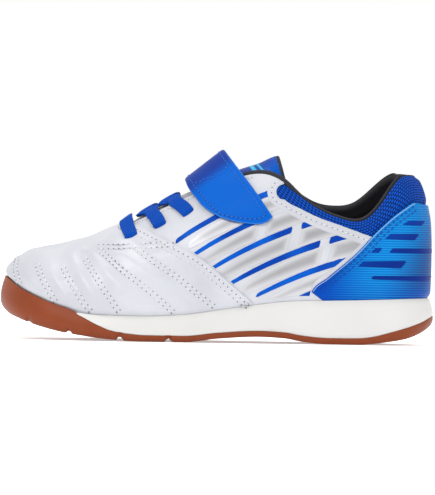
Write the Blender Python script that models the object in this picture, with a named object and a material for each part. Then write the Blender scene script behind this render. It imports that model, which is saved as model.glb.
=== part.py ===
"""Indoor soccer shoe for the left foot, in a child's size, with a strap over flat elastic laces.

The toe points along -X, the outer side of the foot is at -Y and the sole stands on z = 0.
Every curved piece is drawn from one table of sections around the last and one table along the sole.
"""

import math
from collections import namedtuple

import bpy
import numpy as np

# Driving sizes, in metres.
SOLE_LENGTH = 0.215
BALL_WIDTH = 0.081
COLLAR_HEIGHT = 0.0843
HEEL_STACK = 0.0232

# Walls, layers and gaps, in metres.
FIT_GAP = 0.0003
UPPER_WALL = 0.0018
COLLAR_PAD = 0.0038
OVERLAY_THICKNESS = 0.0009
RIM_THICKNESS = 0.0009
GUM_LAYER = 0.0026
SOLE_FLARE = 0.0022
TUCK_UNDER = 0.0020
INSOLE_THICKNESS = 0.0030
TONGUE_THICKNESS = 0.0042
TONGUE_PANEL_THICKNESS = 0.0008
TONGUE_BORDER = 0.0030
STRAP_THICKNESS = 0.0018
LACE_WIDTH = 0.0070
LACE_THICKNESS = 0.0010
GROOVE_WIDTH = 0.0034
GROOVE_DEPTH = 0.0017

# How far the shoe is moved across, so that the middle of its width is at y = 0, in metres.
CENTRE_SHIFT = 0.0019

# How finely the faceted solids follow the curves.
STEPS_PER_SECTION = 2
WALL_ROWS = 8

PER_CENT = 0.01

# Sections around the last. Columns in per cent: edge_x and top_x of SOLE_LENGTH from mid-length,
# edge_y and top_y of BALL_WIDTH, top_z of COLLAR_HEIGHT. lean and crown are degrees: the wall leans out
# from upright at its foot, and turns down from level at its top. rise and reach are the shares of the
# section's straight height over which the wall keeps those directions. pad is the share of COLLAR_PAD.
Section = namedtuple(
    "Section", "name edge_x edge_y top_x top_y top_z lean rise crown reach pad"
)

TOE = Section("toe tip", -50.0, 4.9, -41.9, 3.7, 50.5, 2, 0.42, 0, 0.42, 0)
HEEL = Section("heel back", 50.0, 0.0, 44.9, 0.0, 99.8, 2, 0.58, 50, 0.18, 1)

OUTER_SECTIONS = (
    Section("toe side", -48.7, -12.6, -40.9, 3.3, 51.0, 2, 0.42, 0, 0.42, 0),
    Section("toe corner", -45.7, -26.9, -39.3, 2.7, 52.0, 3, 0.42, 0, 0.42, 0),
    Section("toe joint", -40.9, -37.8, -36.7, 2.1, 53.4, 4, 0.42, 0, 0.42, 0),
    Section("vamp front", -35.1, -44.9, -32.8, 1.4, 56.5, 5, 0.42, 0, 0.42, 0),
    Section("vamp", -28.4, -49.4, -27.9, 0.6, 60.7, 6, 0.42, 0, 0.42, 0),
    Section("throat front", -21.6, -51.9, -22.6, 0.0, 66.1, 6, 0.42, 0, 0.42, 0),
    Section("throat corner", -17.2, -52.6, -21.4, -8.4, 66.3, 6, 0.40, 8, 0.36, 0),
    Section("lower eyelets", -11.2, -52.1, -15.3, -12.1, 73.1, 5, 0.38, 24, 0.33, 0),
    Section("upper eyelets", -2.8, -49.1, -6.0, -14.2, 84.8, 3, 0.36, 36, 0.30, 0),
    Section("instep", 6.5, -44.2, 4.2, -16.7, 95.4, 2, 0.36, 48, 0.28, 0),
    Section("throat end", 14.9, -40.7, 12.6, -21.6, 96.8, 2, 0.40, 55, 0.25, 0.4),
    Section("collar front", 23.3, -38.8, 21.2, -27.2, 82.2, 2, 0.45, 52, 0.22, 1),
    Section("ankle", 30.7, -37.9, 28.4, -29.4, 73.9, 2, 0.50, 50, 0.22, 1),
    Section("ankle back", 36.5, -36.6, 33.6, -28.1, 73.8, 2, 0.52, 48, 0.22, 1),
    Section("heel side", 40.9, -34.1, 37.3, -24.4, 83.5, 3, 0.55, 44, 0.20, 1),
    Section("heel corner", 45.1, -27.9, 40.8, -17.9, 96.8, 2, 0.57, 46, 0.19, 1),
    Section("heel curve", 48.4, -17.0, 43.4, -9.9, 100.0, 2, 0.58, 49, 0.18, 1),
)
INNER_SECTIONS = (
    Section("toe side", -48.7, 21.6, -40.9, 3.3, 51.0, 2, 0.42, 0, 0.42, 0),
    Section("toe corner", -45.7, 33.1, -39.3, 2.7, 52.0, 3, 0.42, 0, 0.42, 0),
    Section("toe joint", -40.9, 40.7, -36.7, 2.1, 53.4, 4, 0.42, 0, 0.42, 0),
    Section("vamp front", -35.1, 45.6, -32.8, 1.4, 56.5, 5, 0.42, 0, 0.42, 0),
    Section("vamp", -28.4, 47.8, -27.9, 0.6, 60.7, 6, 0.42, 0, 0.42, 0),
    Section("throat front", -21.6, 47.4, -22.6, 0.0, 66.1, 6, 0.42, 0, 0.42, 0),
    Section("throat corner", -17.2, 46.0, -21.4, 8.4, 66.3, 5, 0.40, 8, 0.36, 0),
    Section("lower eyelets", -11.2, 43.2, -15.3, 12.1, 73.1, 3, 0.38, 24, 0.33, 0),
    Section("upper eyelets", -2.8, 38.6, -6.0, 14.2, 84.8, 0, 0.36, 36, 0.30, 0),
    Section("instep", 6.5, 35.8, 4.2, 16.7, 95.4, -1, 0.36, 48, 0.28, 0),
    Section("throat end", 14.9, 35.5, 12.6, 21.6, 96.8, 0, 0.40, 55, 0.25, 0.4),
    Section("collar front", 23.3, 36.3, 21.2, 27.2, 83.4, 2, 0.45, 52, 0.22, 1),
    Section("ankle", 30.7, 36.9, 27.4, 29.4, 79.8, 2, 0.50, 50, 0.22, 1),
    Section("ankle back", 36.5, 36.1, 32.1, 28.1, 82.8, 2, 0.52, 48, 0.22, 1),
    Section("heel side", 40.9, 33.6, 36.0, 24.4, 91.4, 3, 0.55, 44, 0.20, 1),
    Section("heel corner", 45.1, 27.5, 39.8, 17.9, 99.2, 2, 0.57, 46, 0.19, 1),
    Section("heel curve", 48.4, 16.8, 43.1, 9.9, 100.2, 2, 0.58, 49, 0.18, 1),
)
CLOSED_SECTIONS = 6

# Heights along the sole. Columns in per cent: x of SOLE_LENGTH from mid-length, and of HEEL_STACK the
# ground side, the top edge of the gum, the top edge of the side wall and the bed under the foot.
SoleRow = namedtuple("SoleRow", "x ground gum rim bed")
SOLE_ROWS = (
    SoleRow(-50.0, 72.0, 130.0, 131.0, 102.0),
    SoleRow(-47.8, 53.0, 114.0, 115.0, 87.0),
    SoleRow(-45.8, 45.0, 103.5, 104.5, 76.0),
    SoleRow(-42.1, 32.5, 88.0, 89.5, 62.0),
    SoleRow(-38.4, 23.0, 74.5, 76.5, 52.5),
    SoleRow(-34.7, 15.5, 62.5, 66.0, 47.0),
    SoleRow(-32.8, 12.7, 57.0, 60.5, 44.8),
    SoleRow(-30.9, 10.3, 49.5, 57.5, 43.0),
    SoleRow(-27.2, 5.6, 32.5, 54.8, 40.5),
    SoleRow(-23.5, 2.6, 20.0, 53.8, 38.8),
    SoleRow(-19.5, 0.4, 15.0, 53.4, 38.0),
    SoleRow(-16.5, 0.0, 13.0, 53.5, 37.6),
    SoleRow(-7.5, 0.0, 12.8, 58.0, 39.0),
    SoleRow(0.5, 8.5, 20.5, 68.5, 46.0),
    SoleRow(9.8, 13.4, 25.8, 81.8, 57.8),
    SoleRow(15.5, 11.0, 23.5, 88.8, 64.2),
    SoleRow(19.5, 4.8, 17.5, 91.2, 67.2),
    SoleRow(23.5, 0.8, 13.6, 92.2, 69.4),
    SoleRow(25.5, 0.0, 12.8, 92.6, 70.2),
    SoleRow(32.5, 0.0, 13.2, 94.5, 72.8),
    SoleRow(36.0, 2.4, 17.0, 95.8, 73.8),
    SoleRow(39.6, 6.8, 25.5, 97.0, 74.6),
    SoleRow(43.3, 13.0, 35.5, 98.3, 75.5),
    SoleRow(47.0, 26.0, 47.5, 99.5, 76.8),
    SoleRow(50.0, 44.0, 62.0, 100.0, 78.5),
)

# Panel edges in the side view. Columns in per cent: x of SOLE_LENGTH from mid-length, z of COLLAR_HEIGHT.
EdgePoint = namedtuple("EdgePoint", "x z")
VAMP_SEAM = (
    EdgePoint(-22.3, 69.0),
    EdgePoint(-19.1, 66.5),
    EdgePoint(-13.4, 59.8),
    EdgePoint(-7.8, 52.9),
    EdgePoint(-3.9, 47.8),
    EdgePoint(1.1, 37.8),
    EdgePoint(8.9, 21.5),
)
COUNTER_EDGE = (
    EdgePoint(20.6, 18.0),
    EdgePoint(21.8, 31.0),
    EdgePoint(25.3, 38.6),
    EdgePoint(31.7, 52.8),
    EdgePoint(37.0, 67.2),
    EdgePoint(42.7, 79.8),
    EdgePoint(44.7, 83.0),
    EdgePoint(46.5, 82.4),
    EdgePoint(50.0, 80.2),
)
QUARTER_TOP = (
    EdgePoint(13.2, 98.5),
    EdgePoint(13.8, 90.0),
    EdgePoint(14.5, 85.4),
    EdgePoint(15.7, 82.4),
    EdgePoint(18.4, 78.9),
    EdgePoint(23.3, 73.2),
    EdgePoint(27.9, 69.2),
    EdgePoint(35.5, 62.6),
)


def length_share(per_cent):
    return per_cent * PER_CENT * SOLE_LENGTH


def width_share(per_cent):
    return per_cent * PER_CENT * BALL_WIDTH


def height_share(per_cent):
    return per_cent * PER_CENT * COLLAR_HEIGHT


def spline(knots, values, period=None):
    """A curve with smooth curvature through values at knots: a function of an array of parameters."""
    t = np.asarray(knots, float)
    p = np.asarray(values, float).reshape(len(t), -1)
    if period:
        t = np.append(t, t[0] + period)
        p = np.vstack([p, p[:1]])
    n = len(t)
    h = np.diff(t)
    slope = np.diff(p, axis=0) / h[:, None]
    system = np.zeros((n, n))
    right = np.zeros_like(p)
    for i in range(1, n - 1):
        system[i, i - 1 : i + 2] = h[i - 1], 2 * (h[i - 1] + h[i]), h[i]
        right[i] = 6 * (slope[i] - slope[i - 1])
    if period:
        system[0, 0], system[0, 1] = 2 * (h[-1] + h[0]), h[0]
        system[0, n - 2] = h[-1]
        right[0] = 6 * (slope[0] - slope[-1])
        system[n - 1, 0], system[n - 1, n - 1] = 1, -1
    else:
        system[0, 0] = system[n - 1, n - 1] = 1
    bend = np.linalg.solve(system, right)

    def at(u):
        u = np.atleast_1d(np.asarray(u, float))
        if period:
            u = t[0] + np.mod(u - t[0], period)
        k = np.clip(np.searchsorted(t, u, side="right") - 1, 0, n - 2)
        a = (t[k + 1] - u) / h[k]
        b = 1 - a
        a, b, w = a[:, None], b[:, None], h[k][:, None]
        curved = ((a**3 - a) * bend[k] + (b**3 - b) * bend[k + 1]) * w**2 / 6
        return a * p[k] + b * p[k + 1] + curved

    return at


def gentle(knots, values):
    """A curve through values at knots that never passes beyond its neighbours' heights."""
    t = np.asarray(knots, float)
    p = np.asarray(values, float)
    h = np.diff(t)
    slope = np.diff(p) / h
    tangent = np.zeros(len(t))
    tangent[0], tangent[-1] = slope[0], slope[-1]
    for i in range(1, len(t) - 1):
        if slope[i - 1] * slope[i] > 0:
            first, second = 2 * h[i] + h[i - 1], h[i] + 2 * h[i - 1]
            tangent[i] = (first + second) / (first / slope[i - 1] + second / slope[i])

    def at(x):
        x = np.clip(np.asarray(x, float), t[0], t[-1])
        k = np.clip(np.searchsorted(t, x, side="right") - 1, 0, len(t) - 2)
        s = (x - t[k]) / h[k]
        start = p[k] * (1 + 2 * s) * (1 - s) ** 2 + tangent[k] * h[k] * s * (1 - s) ** 2
        end = p[k + 1] * s**2 * (3 - 2 * s) - tangent[k + 1] * h[k] * s**2 * (1 - s)
        return start + end

    return at


def smoothstep(low, high, x):
    s = np.clip((np.asarray(x, float) - low) / (high - low), 0, 1)
    return s * s * (3 - 2 * s)


def unit(vectors):
    return vectors / np.maximum(np.linalg.norm(vectors, axis=-1, keepdims=True), 1e-12)


def sole_line(column):
    """The height of one line of SOLE_ROWS, in metres, as a function of x."""
    x = [length_share(row.x) for row in SOLE_ROWS]
    z = [getattr(row, column) * PER_CENT * HEEL_STACK for row in SOLE_ROWS]
    return gentle(x, z)


def side_edge(points):
    """The height of a panel edge in the side view, in metres, as a function of x."""
    return gentle(
        [length_share(p.x) for p in points], [height_share(p.z) for p in points]
    )


GROUND, GUM_TOP, RIM_TOP, BED = (sole_line(c) for c in ("ground", "gum", "rim", "bed"))
SEAM, COUNTER, QUARTER = map(side_edge, (VAMP_SEAM, COUNTER_EDGE, QUARTER_TOP))

# The ring of sections runs from the toe along the outer side to the heel and back along the inner side.
RING = (TOE, *OUTER_SECTIONS, HEEL, *reversed(INNER_SECTIONS))
HALF = len(OUTER_SECTIONS) + 1
RING_EDGE = np.array([[length_share(s.edge_x), width_share(s.edge_y)] for s in RING])
RING_STEPS = np.linalg.norm(RING_EDGE - np.roll(RING_EDGE, -1, axis=0), axis=1)
RING_KNOTS = np.concatenate([[0], np.cumsum(RING_STEPS)[:-1]])
RING_LENGTH = RING_STEPS.sum()
EDGE = spline(RING_KNOTS, RING_EDGE, period=RING_LENGTH)
SHAPE = spline(
    RING_KNOTS,
    [
        [math.radians(s.lean), s.rise, math.radians(s.crown), s.reach, s.pad]
        for s in RING
    ],
    period=RING_LENGTH,
)
RIDGE_END = RING_KNOTS[CLOSED_SECTIONS]
RIDGE_START_AGAIN = RING_KNOTS[len(RING) - CLOSED_SECTIONS]


def top_points(sections):
    return [
        [length_share(s.top_x), width_share(s.top_y), height_share(s.top_z)]
        for s in sections
    ]


RIDGE = spline(
    np.concatenate([-RING_KNOTS[CLOSED_SECTIONS:0:-1], RING_KNOTS[: CLOSED_SECTIONS + 1]]),
    top_points(RING[CLOSED_SECTIONS:0:-1] + RING[: CLOSED_SECTIONS + 1]),
)
OPEN_EDGE = spline(
    RING_KNOTS[CLOSED_SECTIONS : len(RING) - CLOSED_SECTIONS + 1],
    top_points(RING[CLOSED_SECTIONS : len(RING) - CLOSED_SECTIONS + 1]),
)


def ring_stations(steps):
    """Parameters around the ring: each section, and steps - 1 places between it and the next."""
    ends = np.append(RING_KNOTS, RING_LENGTH)
    shares = np.arange(steps) / steps
    return (ends[:-1, None] + shares * np.diff(ends)[:, None]).ravel()


def mirror_station(u):
    """The place on the ring across the ridge from each place u."""
    ends = np.append(RING_KNOTS, RING_LENGTH)
    index = np.interp(u, ends, np.arange(len(ends)))
    return np.interp(len(RING) - index, np.arange(len(ends)), ends)


def outward(u):
    """Unit plan normals of the sole's outline."""
    step = RING_LENGTH * 1e-4
    along = EDGE(u + step) - EDGE(u - step)
    return unit(np.column_stack([along[:, 1], -along[:, 0]]))


def outline(u, inset):
    return EDGE(u) - outward(u) * np.reshape(inset, (-1, 1))


def is_closed(u):
    return (u <= RIDGE_END) | (u >= RIDGE_START_AGAIN)


def ridge_parameter(u):
    """The distance from the toe at which both halves of the vamp meet the ridge."""
    outer = np.where(u > RIDGE_END, mirror_station(u), u)
    return np.where(u <= RIDGE_END, u, outer)


def top_edge(u):
    """Where each section ends: on the vamp's ridge, or on the edge of the throat and collar."""
    u = np.asarray(u, float)
    closed = is_closed(u)
    ridge = RIDGE(np.where(closed, ridge_parameter(u), 0))
    opened = OPEN_EDGE(np.clip(u, RIDGE_END, RIDGE_START_AGAIN))
    return np.where(closed[:, None], ridge, opened)


def ridge_slope(u):
    step = RING_LENGTH * 1e-3
    s = np.maximum(ridge_parameter(u), 2 * step)
    change = RIDGE(s + step) - RIDGE(s - step)
    return np.where(is_closed(u), change[:, 2] / change[:, 0], 0)


UPPER_INSET = SOLE_FLARE + RIM_THICKNESS + FIT_GAP


def last_surface(u, v):
    """Points of the upper's outer face: u around the ring, v from 0 at the sole's rim to 1 at the top."""
    u, v = np.broadcast_arrays(np.asarray(u, float), np.asarray(v, float))
    shape, u, v = u.shape, u.ravel(), v.ravel()
    foot = outline(u, upper_inset(u))
    base = np.column_stack([foot, RIM_TOP(EDGE(u)[:, 0])])
    top = top_edge(u)
    lean, rise, crown, reach, _ = SHAPE(u).T
    crown = np.where(is_closed(u), 0, np.maximum(crown, 0))
    size = np.linalg.norm(top - base, axis=1)
    out = outward(u)
    up = np.column_stack([out * np.sin(lean)[:, None], np.cos(lean)])
    level = unit(base[:, :2] - top[:, :2])
    fall = level[:, 0] * ridge_slope(u)
    down = unit(np.column_stack([level, fall]))
    down = down * np.cos(crown)[:, None] - np.sin(crown)[:, None] * [[0, 0, 1]]
    low = base + up * (rise * size)[:, None]
    high = top + down * (reach * size)[:, None]
    w = v[:, None]
    points = (
        base * (1 - w) ** 3
        + 3 * low * w * (1 - w) ** 2
        + 3 * high * w**2 * (1 - w)
        + top * w**3
    )
    return points.reshape(*shape, 3)


def skirt(u, depth):
    """Points of the upper below the rim: depth runs from 0 at the rim to 1 on the bed."""
    rim = last_surface(u, np.zeros(len(u)))
    foot = outline(u, upper_inset(u) + TUCK_UNDER * depth**2)
    floor = BED(foot[:, 0]) + FIT_GAP
    return np.column_stack([foot, rim[:, 2] * (1 - depth) + floor * depth])


def merged(grid, pairs, row):
    """Grid points as a flat list with the two stations of each pair made one point on that row."""
    count_u, count_v = grid.shape[:2]
    index = np.arange(count_u * count_v).reshape(count_u, count_v)
    for kept, dropped in pairs:
        index[dropped, row] = index[kept, row]
    used, compact = np.unique(index, return_inverse=True)
    return grid.reshape(-1, 3)[used], compact.reshape(count_u, count_v)


def vertex_normals(points, faces):
    normals = np.zeros_like(points)
    for face in faces:
        corners = points[face]
        area = sum(
            np.cross(corners[n - 1] - corners[0], corners[n] - corners[0])
            for n in range(2, len(face))
        )
        for corner in face:
            normals[corner] += area
    return unit(normals)


def thicken(points, faces, low, high, roll=0.0):
    """A closed solid from an open sheet: its face moved out by high, its back by low, along the normals.

    roll rounds the edges by that much beyond the sheet's border."""
    normals = vertex_normals(points, faces)
    count = len(points)
    low = np.broadcast_to(low, count)
    high = np.broadcast_to(high, count)
    face_side = points + normals * high[:, None]
    back_side = points + normals * low[:, None]
    edges = [(f[n - 1], f[n]) for f in faces for n in range(len(f))]
    border = sorted(set(edges) - {(b, a) for a, b in edges})
    away = np.zeros_like(points)
    for a, b in border:
        side = unit(np.cross(points[b] - points[a], normals[a] + normals[b]))
        away[a] += side
        away[b] += side
    rim_ids = sorted({a for edge in border for a in edge})
    middle = (face_side + back_side) / 2 + unit(away) * np.reshape(roll, (-1, 1))
    rim_at = {a: 2 * count + n for n, a in enumerate(rim_ids)}
    solid_faces = [list(f) for f in faces]
    solid_faces += [[c + count for c in reversed(f)] for f in faces]
    for a, b in border:
        solid_faces.append([b, a, rim_at[a], rim_at[b]])
        solid_faces.append([rim_at[b], rim_at[a], a + count, b + count])
    return np.vstack([face_side, back_side, middle[rim_ids]]), solid_faces


def add_object(name, points, faces, material):
    points = np.asarray(points, float) + (0, CENTRE_SHIFT, 0)
    mesh = bpy.data.meshes.new(name)
    mesh.from_pydata(points.tolist(), [], [list(f) for f in faces])
    mesh.validate()
    mesh.shade_smooth()
    mesh.set_sharp_from_angle(angle=math.radians(40))
    mesh.materials.append(material)
    obj = bpy.data.objects.new(name, mesh)
    bpy.context.scene.collection.objects.link(obj)
    return obj


def add_material(name, colour, roughness, metallic=0.0):
    material = bpy.data.materials.new(name)
    material.use_nodes = True
    shader = material.node_tree.nodes["Principled BSDF"]
    shader.inputs["Base Color"].default_value = (*colour, 1)
    shader.inputs["Roughness"].default_value = roughness
    shader.inputs["Metallic"].default_value = metallic
    return material


def clear_scene():
    for obj in list(bpy.data.objects):
        bpy.data.objects.remove(obj, do_unlink=True)


def grid_triangles(index, wrap):
    """Triangles between neighbouring stations and rows, all split along the same diagonal."""
    triangles = []
    count_u, count_v = index.shape
    for i in range(count_u if wrap else count_u - 1):
        j = (i + 1) % count_u
        for k in range(count_v - 1):
            a, b, c, d = index[i, k], index[j, k], index[j, k + 1], index[i, k + 1]
            for triangle in ((a, b, c), (a, c, d)):
                if len(set(triangle)) == 3:
                    triangles.append([int(n) for n in triangle])
    return triangles


def surface_normal(u, v):
    du, dv = RING_LENGTH * 1e-4, 1e-3
    v = np.clip(v, dv, 1 - dv)
    across = last_surface(u, v + dv) - last_surface(u, v - dv)
    along = last_surface(u + du, v) - last_surface(u - du, v)
    return unit(np.cross(along, across))


def on_upper(x, z, side):
    """Parameters of the upper's outer face where it shows at x, z in the side view. side is -1 or 1."""
    half = RING_KNOTS[HALF]
    start, end = (0, half) if side < 0 else (half, RING_LENGTH)
    grid_u, grid_v = np.meshgrid(
        np.linspace(start, end, 180), np.linspace(0.01, 0.99, 60), indexing="ij"
    )
    seen = last_surface(grid_u, grid_v)
    u, v = np.zeros(len(x)), np.zeros(len(x))
    for n in range(len(x)):
        far = (seen[..., 0] - x[n]) ** 2 + (seen[..., 2] - z[n]) ** 2
        near = np.unravel_index(np.argmin(far), far.shape)
        u[n], v[n] = grid_u[near], grid_v[near]
    for _ in range(6):
        du, dv = RING_LENGTH * 1e-5, 1e-4
        here = last_surface(u, v)
        to_u = (last_surface(u + du, v) - here) / du
        to_v = (last_surface(u, v + dv) - here) / dv
        miss_x, miss_z = x - here[:, 0], z - here[:, 2]
        det = to_u[:, 0] * to_v[:, 2] - to_v[:, 0] * to_u[:, 2]
        u = u + np.clip((miss_x * to_v[:, 2] - miss_z * to_v[:, 0]) / det, -0.004, 0.004)
        v = v + np.clip((miss_z * to_u[:, 0] - miss_x * to_u[:, 2]) / det, -0.1, 0.1)
        v = np.clip(v, 0, 1)
    return u, v


def lifted(x, z, side, height):
    """Points over the upper at x, z in the side view, lifted along its normal by height."""
    u, v = on_upper(np.asarray(x, float), np.asarray(z, float), side)
    return last_surface(u, v) + surface_normal(u, v) * height


# How far the sole's side stands in from its outline. Columns: share of its height, share of SOLE_FLARE.
SideShape = namedtuple("SideShape", "height inset")
SIDE_SHAPES = (
    SideShape(0.0, 1.30),
    SideShape(0.1, 0.55),
    SideShape(0.3, 0.05),
    SideShape(0.5, 0.05),
    SideShape(0.75, 0.40),
    SideShape(1.0, 1.0),
)
SIDE_INSET = gentle(
    [s.height for s in SIDE_SHAPES], [s.inset * SOLE_FLARE for s in SIDE_SHAPES]
)
TOE_ZONE_END = -0.072
BUMPER_TOP = 0.0009
LEDGE = 0.0012


def toe_share(x):
    return 1 - smoothstep(-0.0750, -0.0600, x)


def upper_inset(u):
    """How far the upper's outer face stands in from the sole's outline."""
    x = EDGE(u)[:, 0]
    return UPPER_INSET + 0.0010 * toe_share(x)


def sole_frame(u):
    """For each station: ground and rim heights, the gum's share of the side, and whether the gum covers it."""
    ground = GROUND(outline(u, SIDE_INSET(0.0))[:, 0])
    edge_x = EDGE(u)[:, 0]
    rim = RIM_TOP(edge_x)
    gum = np.minimum((GUM_TOP(edge_x) - ground) / (rim - ground), 0.97)
    return ground, rim, gum, edge_x < TOE_ZONE_END


def side_ring(u, share):
    """Points of the sole's side at a share of its height."""
    ground, rim, _, _ = sole_frame(u)
    foot = outline(u, SIDE_INSET(share))
    return np.column_stack([foot, ground + share * (rim - ground)])


def wrap_inset(u):
    """How far the gum's inner face stands in from the outline."""
    _, _, gum, covered = sole_frame(u)
    return np.where(covered, SOLE_FLARE + BUMPER_TOP, SIDE_INSET(gum) + LEDGE)


def cap_triangles(ring, count, facing_up):
    """Triangles across the sole between the outer and inner stations of one ring of points."""
    triangles = []
    for k in range(count // 2):
        outer, outer_next = ring[k], ring[k + 1]
        inner, inner_next = ring[(count - k) % count], ring[count - k - 1]
        for triangle in ((outer, inner, inner_next), (outer, inner_next, outer_next)):
            if len(set(triangle)) == 3:
                triangles.append(triangle[::-1] if facing_up else triangle)
    return triangles


def ring_solid(rings):
    """A closed solid from rings of points that run from its underside out, up and in over its top."""
    count = len(rings[0])
    index = np.arange(len(rings) * count).reshape(len(rings), count)
    triangles = grid_triangles(index.T, True)
    triangles += cap_triangles(index[0].tolist(), count, False)
    triangles += cap_triangles(index[-1].tolist(), count, True)
    return np.vstack(rings), triangles


def outsole_rings(u):
    _, _, gum, _ = sole_frame(u)
    rings = [side_ring(u, gum * share) for share in (0.0, 0.25, 0.6, 1.0)]
    top = rings[-1][:, 2]
    inner = outline(u, wrap_inset(u))
    low = GROUND(inner[:, 0]) + GUM_LAYER
    rings.append(np.column_stack([inner, top]))
    rings.append(np.column_stack([inner, np.minimum(low, top - 0.0003)]))
    return rings


def midsole_rings(u):
    ground, rim, gum, covered = sole_frame(u)
    inner = outline(u, wrap_inset(u) + FIT_GAP)
    low = GROUND(inner[:, 0]) + GUM_LAYER + FIT_GAP
    gum_top = ground + gum * (rim - ground)
    ledge = np.minimum(gum_top + FIT_GAP, rim - 0.0002)
    low = np.minimum(low, ledge - 0.0003)
    rings = [np.column_stack([inner, low]), np.column_stack([inner, ledge])]
    for share in (0.0, 0.33, 0.66, 1.0):
        height = ledge + share * (rim - ledge)
        inset = SIDE_INSET((height - ground) / (rim - ground))
        inset = np.where(covered, wrap_inset(u) + FIT_GAP, inset)
        rings.append(np.column_stack([outline(u, inset), height]))
    for depth in (0.0, 0.5, 1.0):
        foot = outline(u, upper_inset(u) - FIT_GAP + TUCK_UNDER * depth**2)
        bed = BED(foot[:, 0])
        rings.append(np.column_stack([foot, rim + (bed - rim) * depth]))
    return rings


def make_outsole(material):
    points, faces = ring_solid(outsole_rings(ring_stations(STEPS_PER_SECTION)))
    return add_object("outsole", points, faces, material)


def make_midsole(material):
    points, faces = ring_solid(midsole_rings(ring_stations(STEPS_PER_SECTION)))
    return add_object("midsole", points, faces, material)


def make_insole(material):
    u = ring_stations(STEPS_PER_SECTION)
    rings = []
    for height, inset in ((0.0, 0.0004), (1.0, 0.0), (1.0, 0.0012)):
        foot = outline(u, upper_inset(u) + TUCK_UNDER + UPPER_WALL + 0.0006 + inset)
        bed = BED(foot[:, 0]) + FIT_GAP
        rings.append(np.column_stack([foot, bed + INSOLE_THICKNESS * height]))
    points, faces = ring_solid(rings)
    return add_object("insole", points, faces, material)


def cut_flex_grooves(outsole):
    """Cuts the four grooves that cross the forefoot."""
    for number, (share, width) in enumerate(
        ((-42.8, 0.6), (-33.6, 0.7), (-22.1, 1.0), (-11.0, 1.0))
    ):
        x = length_share(share)
        half = GROOVE_WIDTH / 2 * width
        depth = GROOVE_DEPTH * width
        low = float(GROUND(x)) - 0.004
        high = float(GROUND(x)) + depth
        rise = float(GROUND(x + 0.001) - GROUND(x - 0.001)) / 0.002
        profile = [
            (x - 2 * half, low),
            (x + 2 * half, low),
            (x + half, high + rise * half - 0.2 * depth),
            (x + 0.4 * half, high),
            (x - 0.4 * half, high),
            (x - half, high - rise * half - 0.2 * depth),
        ]
        points = [(px, y, pz) for y in (-0.06, 0.06) for px, pz in profile]
        n = len(profile)
        faces = [list(range(n)), list(reversed(range(n, 2 * n)))]
        faces += [[(k + 1) % n, k, n + k, n + (k + 1) % n] for k in range(n)]
        cutter = add_object(f"groove_{number}", points, faces, outsole.data.materials[0])
        cutter.hide_render = True
        cutter.display_type = "WIRE"
        modifier = outsole.modifiers.new(f"groove {number}", "BOOLEAN")
        modifier.operation = "DIFFERENCE"
        modifier.solver = "EXACT"
        modifier.object = cutter


def upper_grid(rows, skirt_depths=()):
    """The upper's outer face as points and triangles, with the stations and rows of every point."""
    u = ring_stations(STEPS_PER_SECTION)
    columns = [skirt(u, depth) for depth in skirt_depths]
    columns += [last_surface(u, np.full(len(u), v)) for v in rows]
    grid = np.stack(columns, axis=1)
    levels = np.array([-d for d in skirt_depths] + list(rows))
    pairs = [(k, len(u) - k) for k in range(1, CLOSED_SECTIONS * STEPS_PER_SECTION + 1)]
    points, index = merged(grid, pairs, -1)
    at = np.zeros((len(points), 2))
    at[index.ravel()] = np.stack(
        np.broadcast_arrays(u[:, None], levels[None, :]), axis=-1
    ).reshape(-1, 2)
    return points, grid_triangles(index, True), at


def make_upper(material):
    rows = np.linspace(0, 1, WALL_ROWS + 1)
    points, faces, at = upper_grid(rows, (1.0, 0.5))
    u, v = at.T
    pad = np.clip(SHAPE(u)[:, 4], 0, 1) * smoothstep(0.60, 0.88, v)
    roll = np.where(v > 0.5, 0.0003 + 0.0014 * pad, 0)
    points, faces = thicken(points, faces, -UPPER_WALL - COLLAR_PAD * pad, 0.0, roll)
    return add_object("upper", points, faces, material)


def clip(points, faces, values, snap=0.0006):
    """The part of a sheet where values, one for each point, aren't negative."""
    values = np.where(np.abs(values) < snap, 0.0, values)
    out_points = list(points)
    cut = {}
    kept = []
    for face in faces:
        polygon = []
        for n, b in enumerate(face):
            a = face[n - 1]
            if values[a] * values[b] < 0:
                key = (min(a, b), max(a, b))
                if key not in cut:
                    share = values[key[0]] / (values[key[0]] - values[key[1]])
                    cut[key] = len(out_points)
                    mix = points[key[0]] * (1 - share) + points[key[1]] * share
                    out_points.append(mix)
                polygon.append(cut[key])
            if values[b] >= 0:
                polygon.append(b)
        inside = [n for n in polygon if n >= len(points) or values[n] > 0]
        if len(polygon) > 2 and (len(inside) or max(values[c] for c in face) > 0):
            kept.append(polygon)
    used = sorted({n for f in kept for n in f})
    place = {n: k for k, n in enumerate(used)}
    return np.array([out_points[n] for n in used]), [[place[n] for n in f] for f in kept]


def seam_field(points):
    """Positive on the quarters' side of the seam, in metres across it."""
    return (points[:, 2] - SEAM(points[:, 0])) * 0.75


def counter_field(points):
    """Positive on the counter's side of its edge, in metres across it."""
    return (COUNTER(points[:, 0]) - points[:, 2]) * 0.75


def quarter_top_field(points):
    return (QUARTER(points[:, 0]) - points[:, 2]) * 0.8


def panel_sheet(*fields):
    """The overlay sheet over the upper, clipped to where each field is positive."""
    rows = np.linspace(0, 1, WALL_ROWS + 1)
    rows[0] = 0.016
    points, faces, _ = upper_grid(rows)
    for field in fields:
        points, faces = clip(points, faces, field(points))
    return points, faces


def shrink_border(points, faces, distance):
    """Moves the border of a sheet inwards along the sheet."""
    normals = vertex_normals(points, faces)
    edges = [(f[n - 1], f[n]) for f in faces for n in range(len(f))]
    border = set(edges) - {(b, a) for a, b in edges}
    away = np.zeros_like(points)
    for a, b in border:
        side = unit(np.cross(points[b] - points[a], normals[a] + normals[b]))
        away[a] += side
        away[b] += side
    return points - unit(away) * distance


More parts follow.
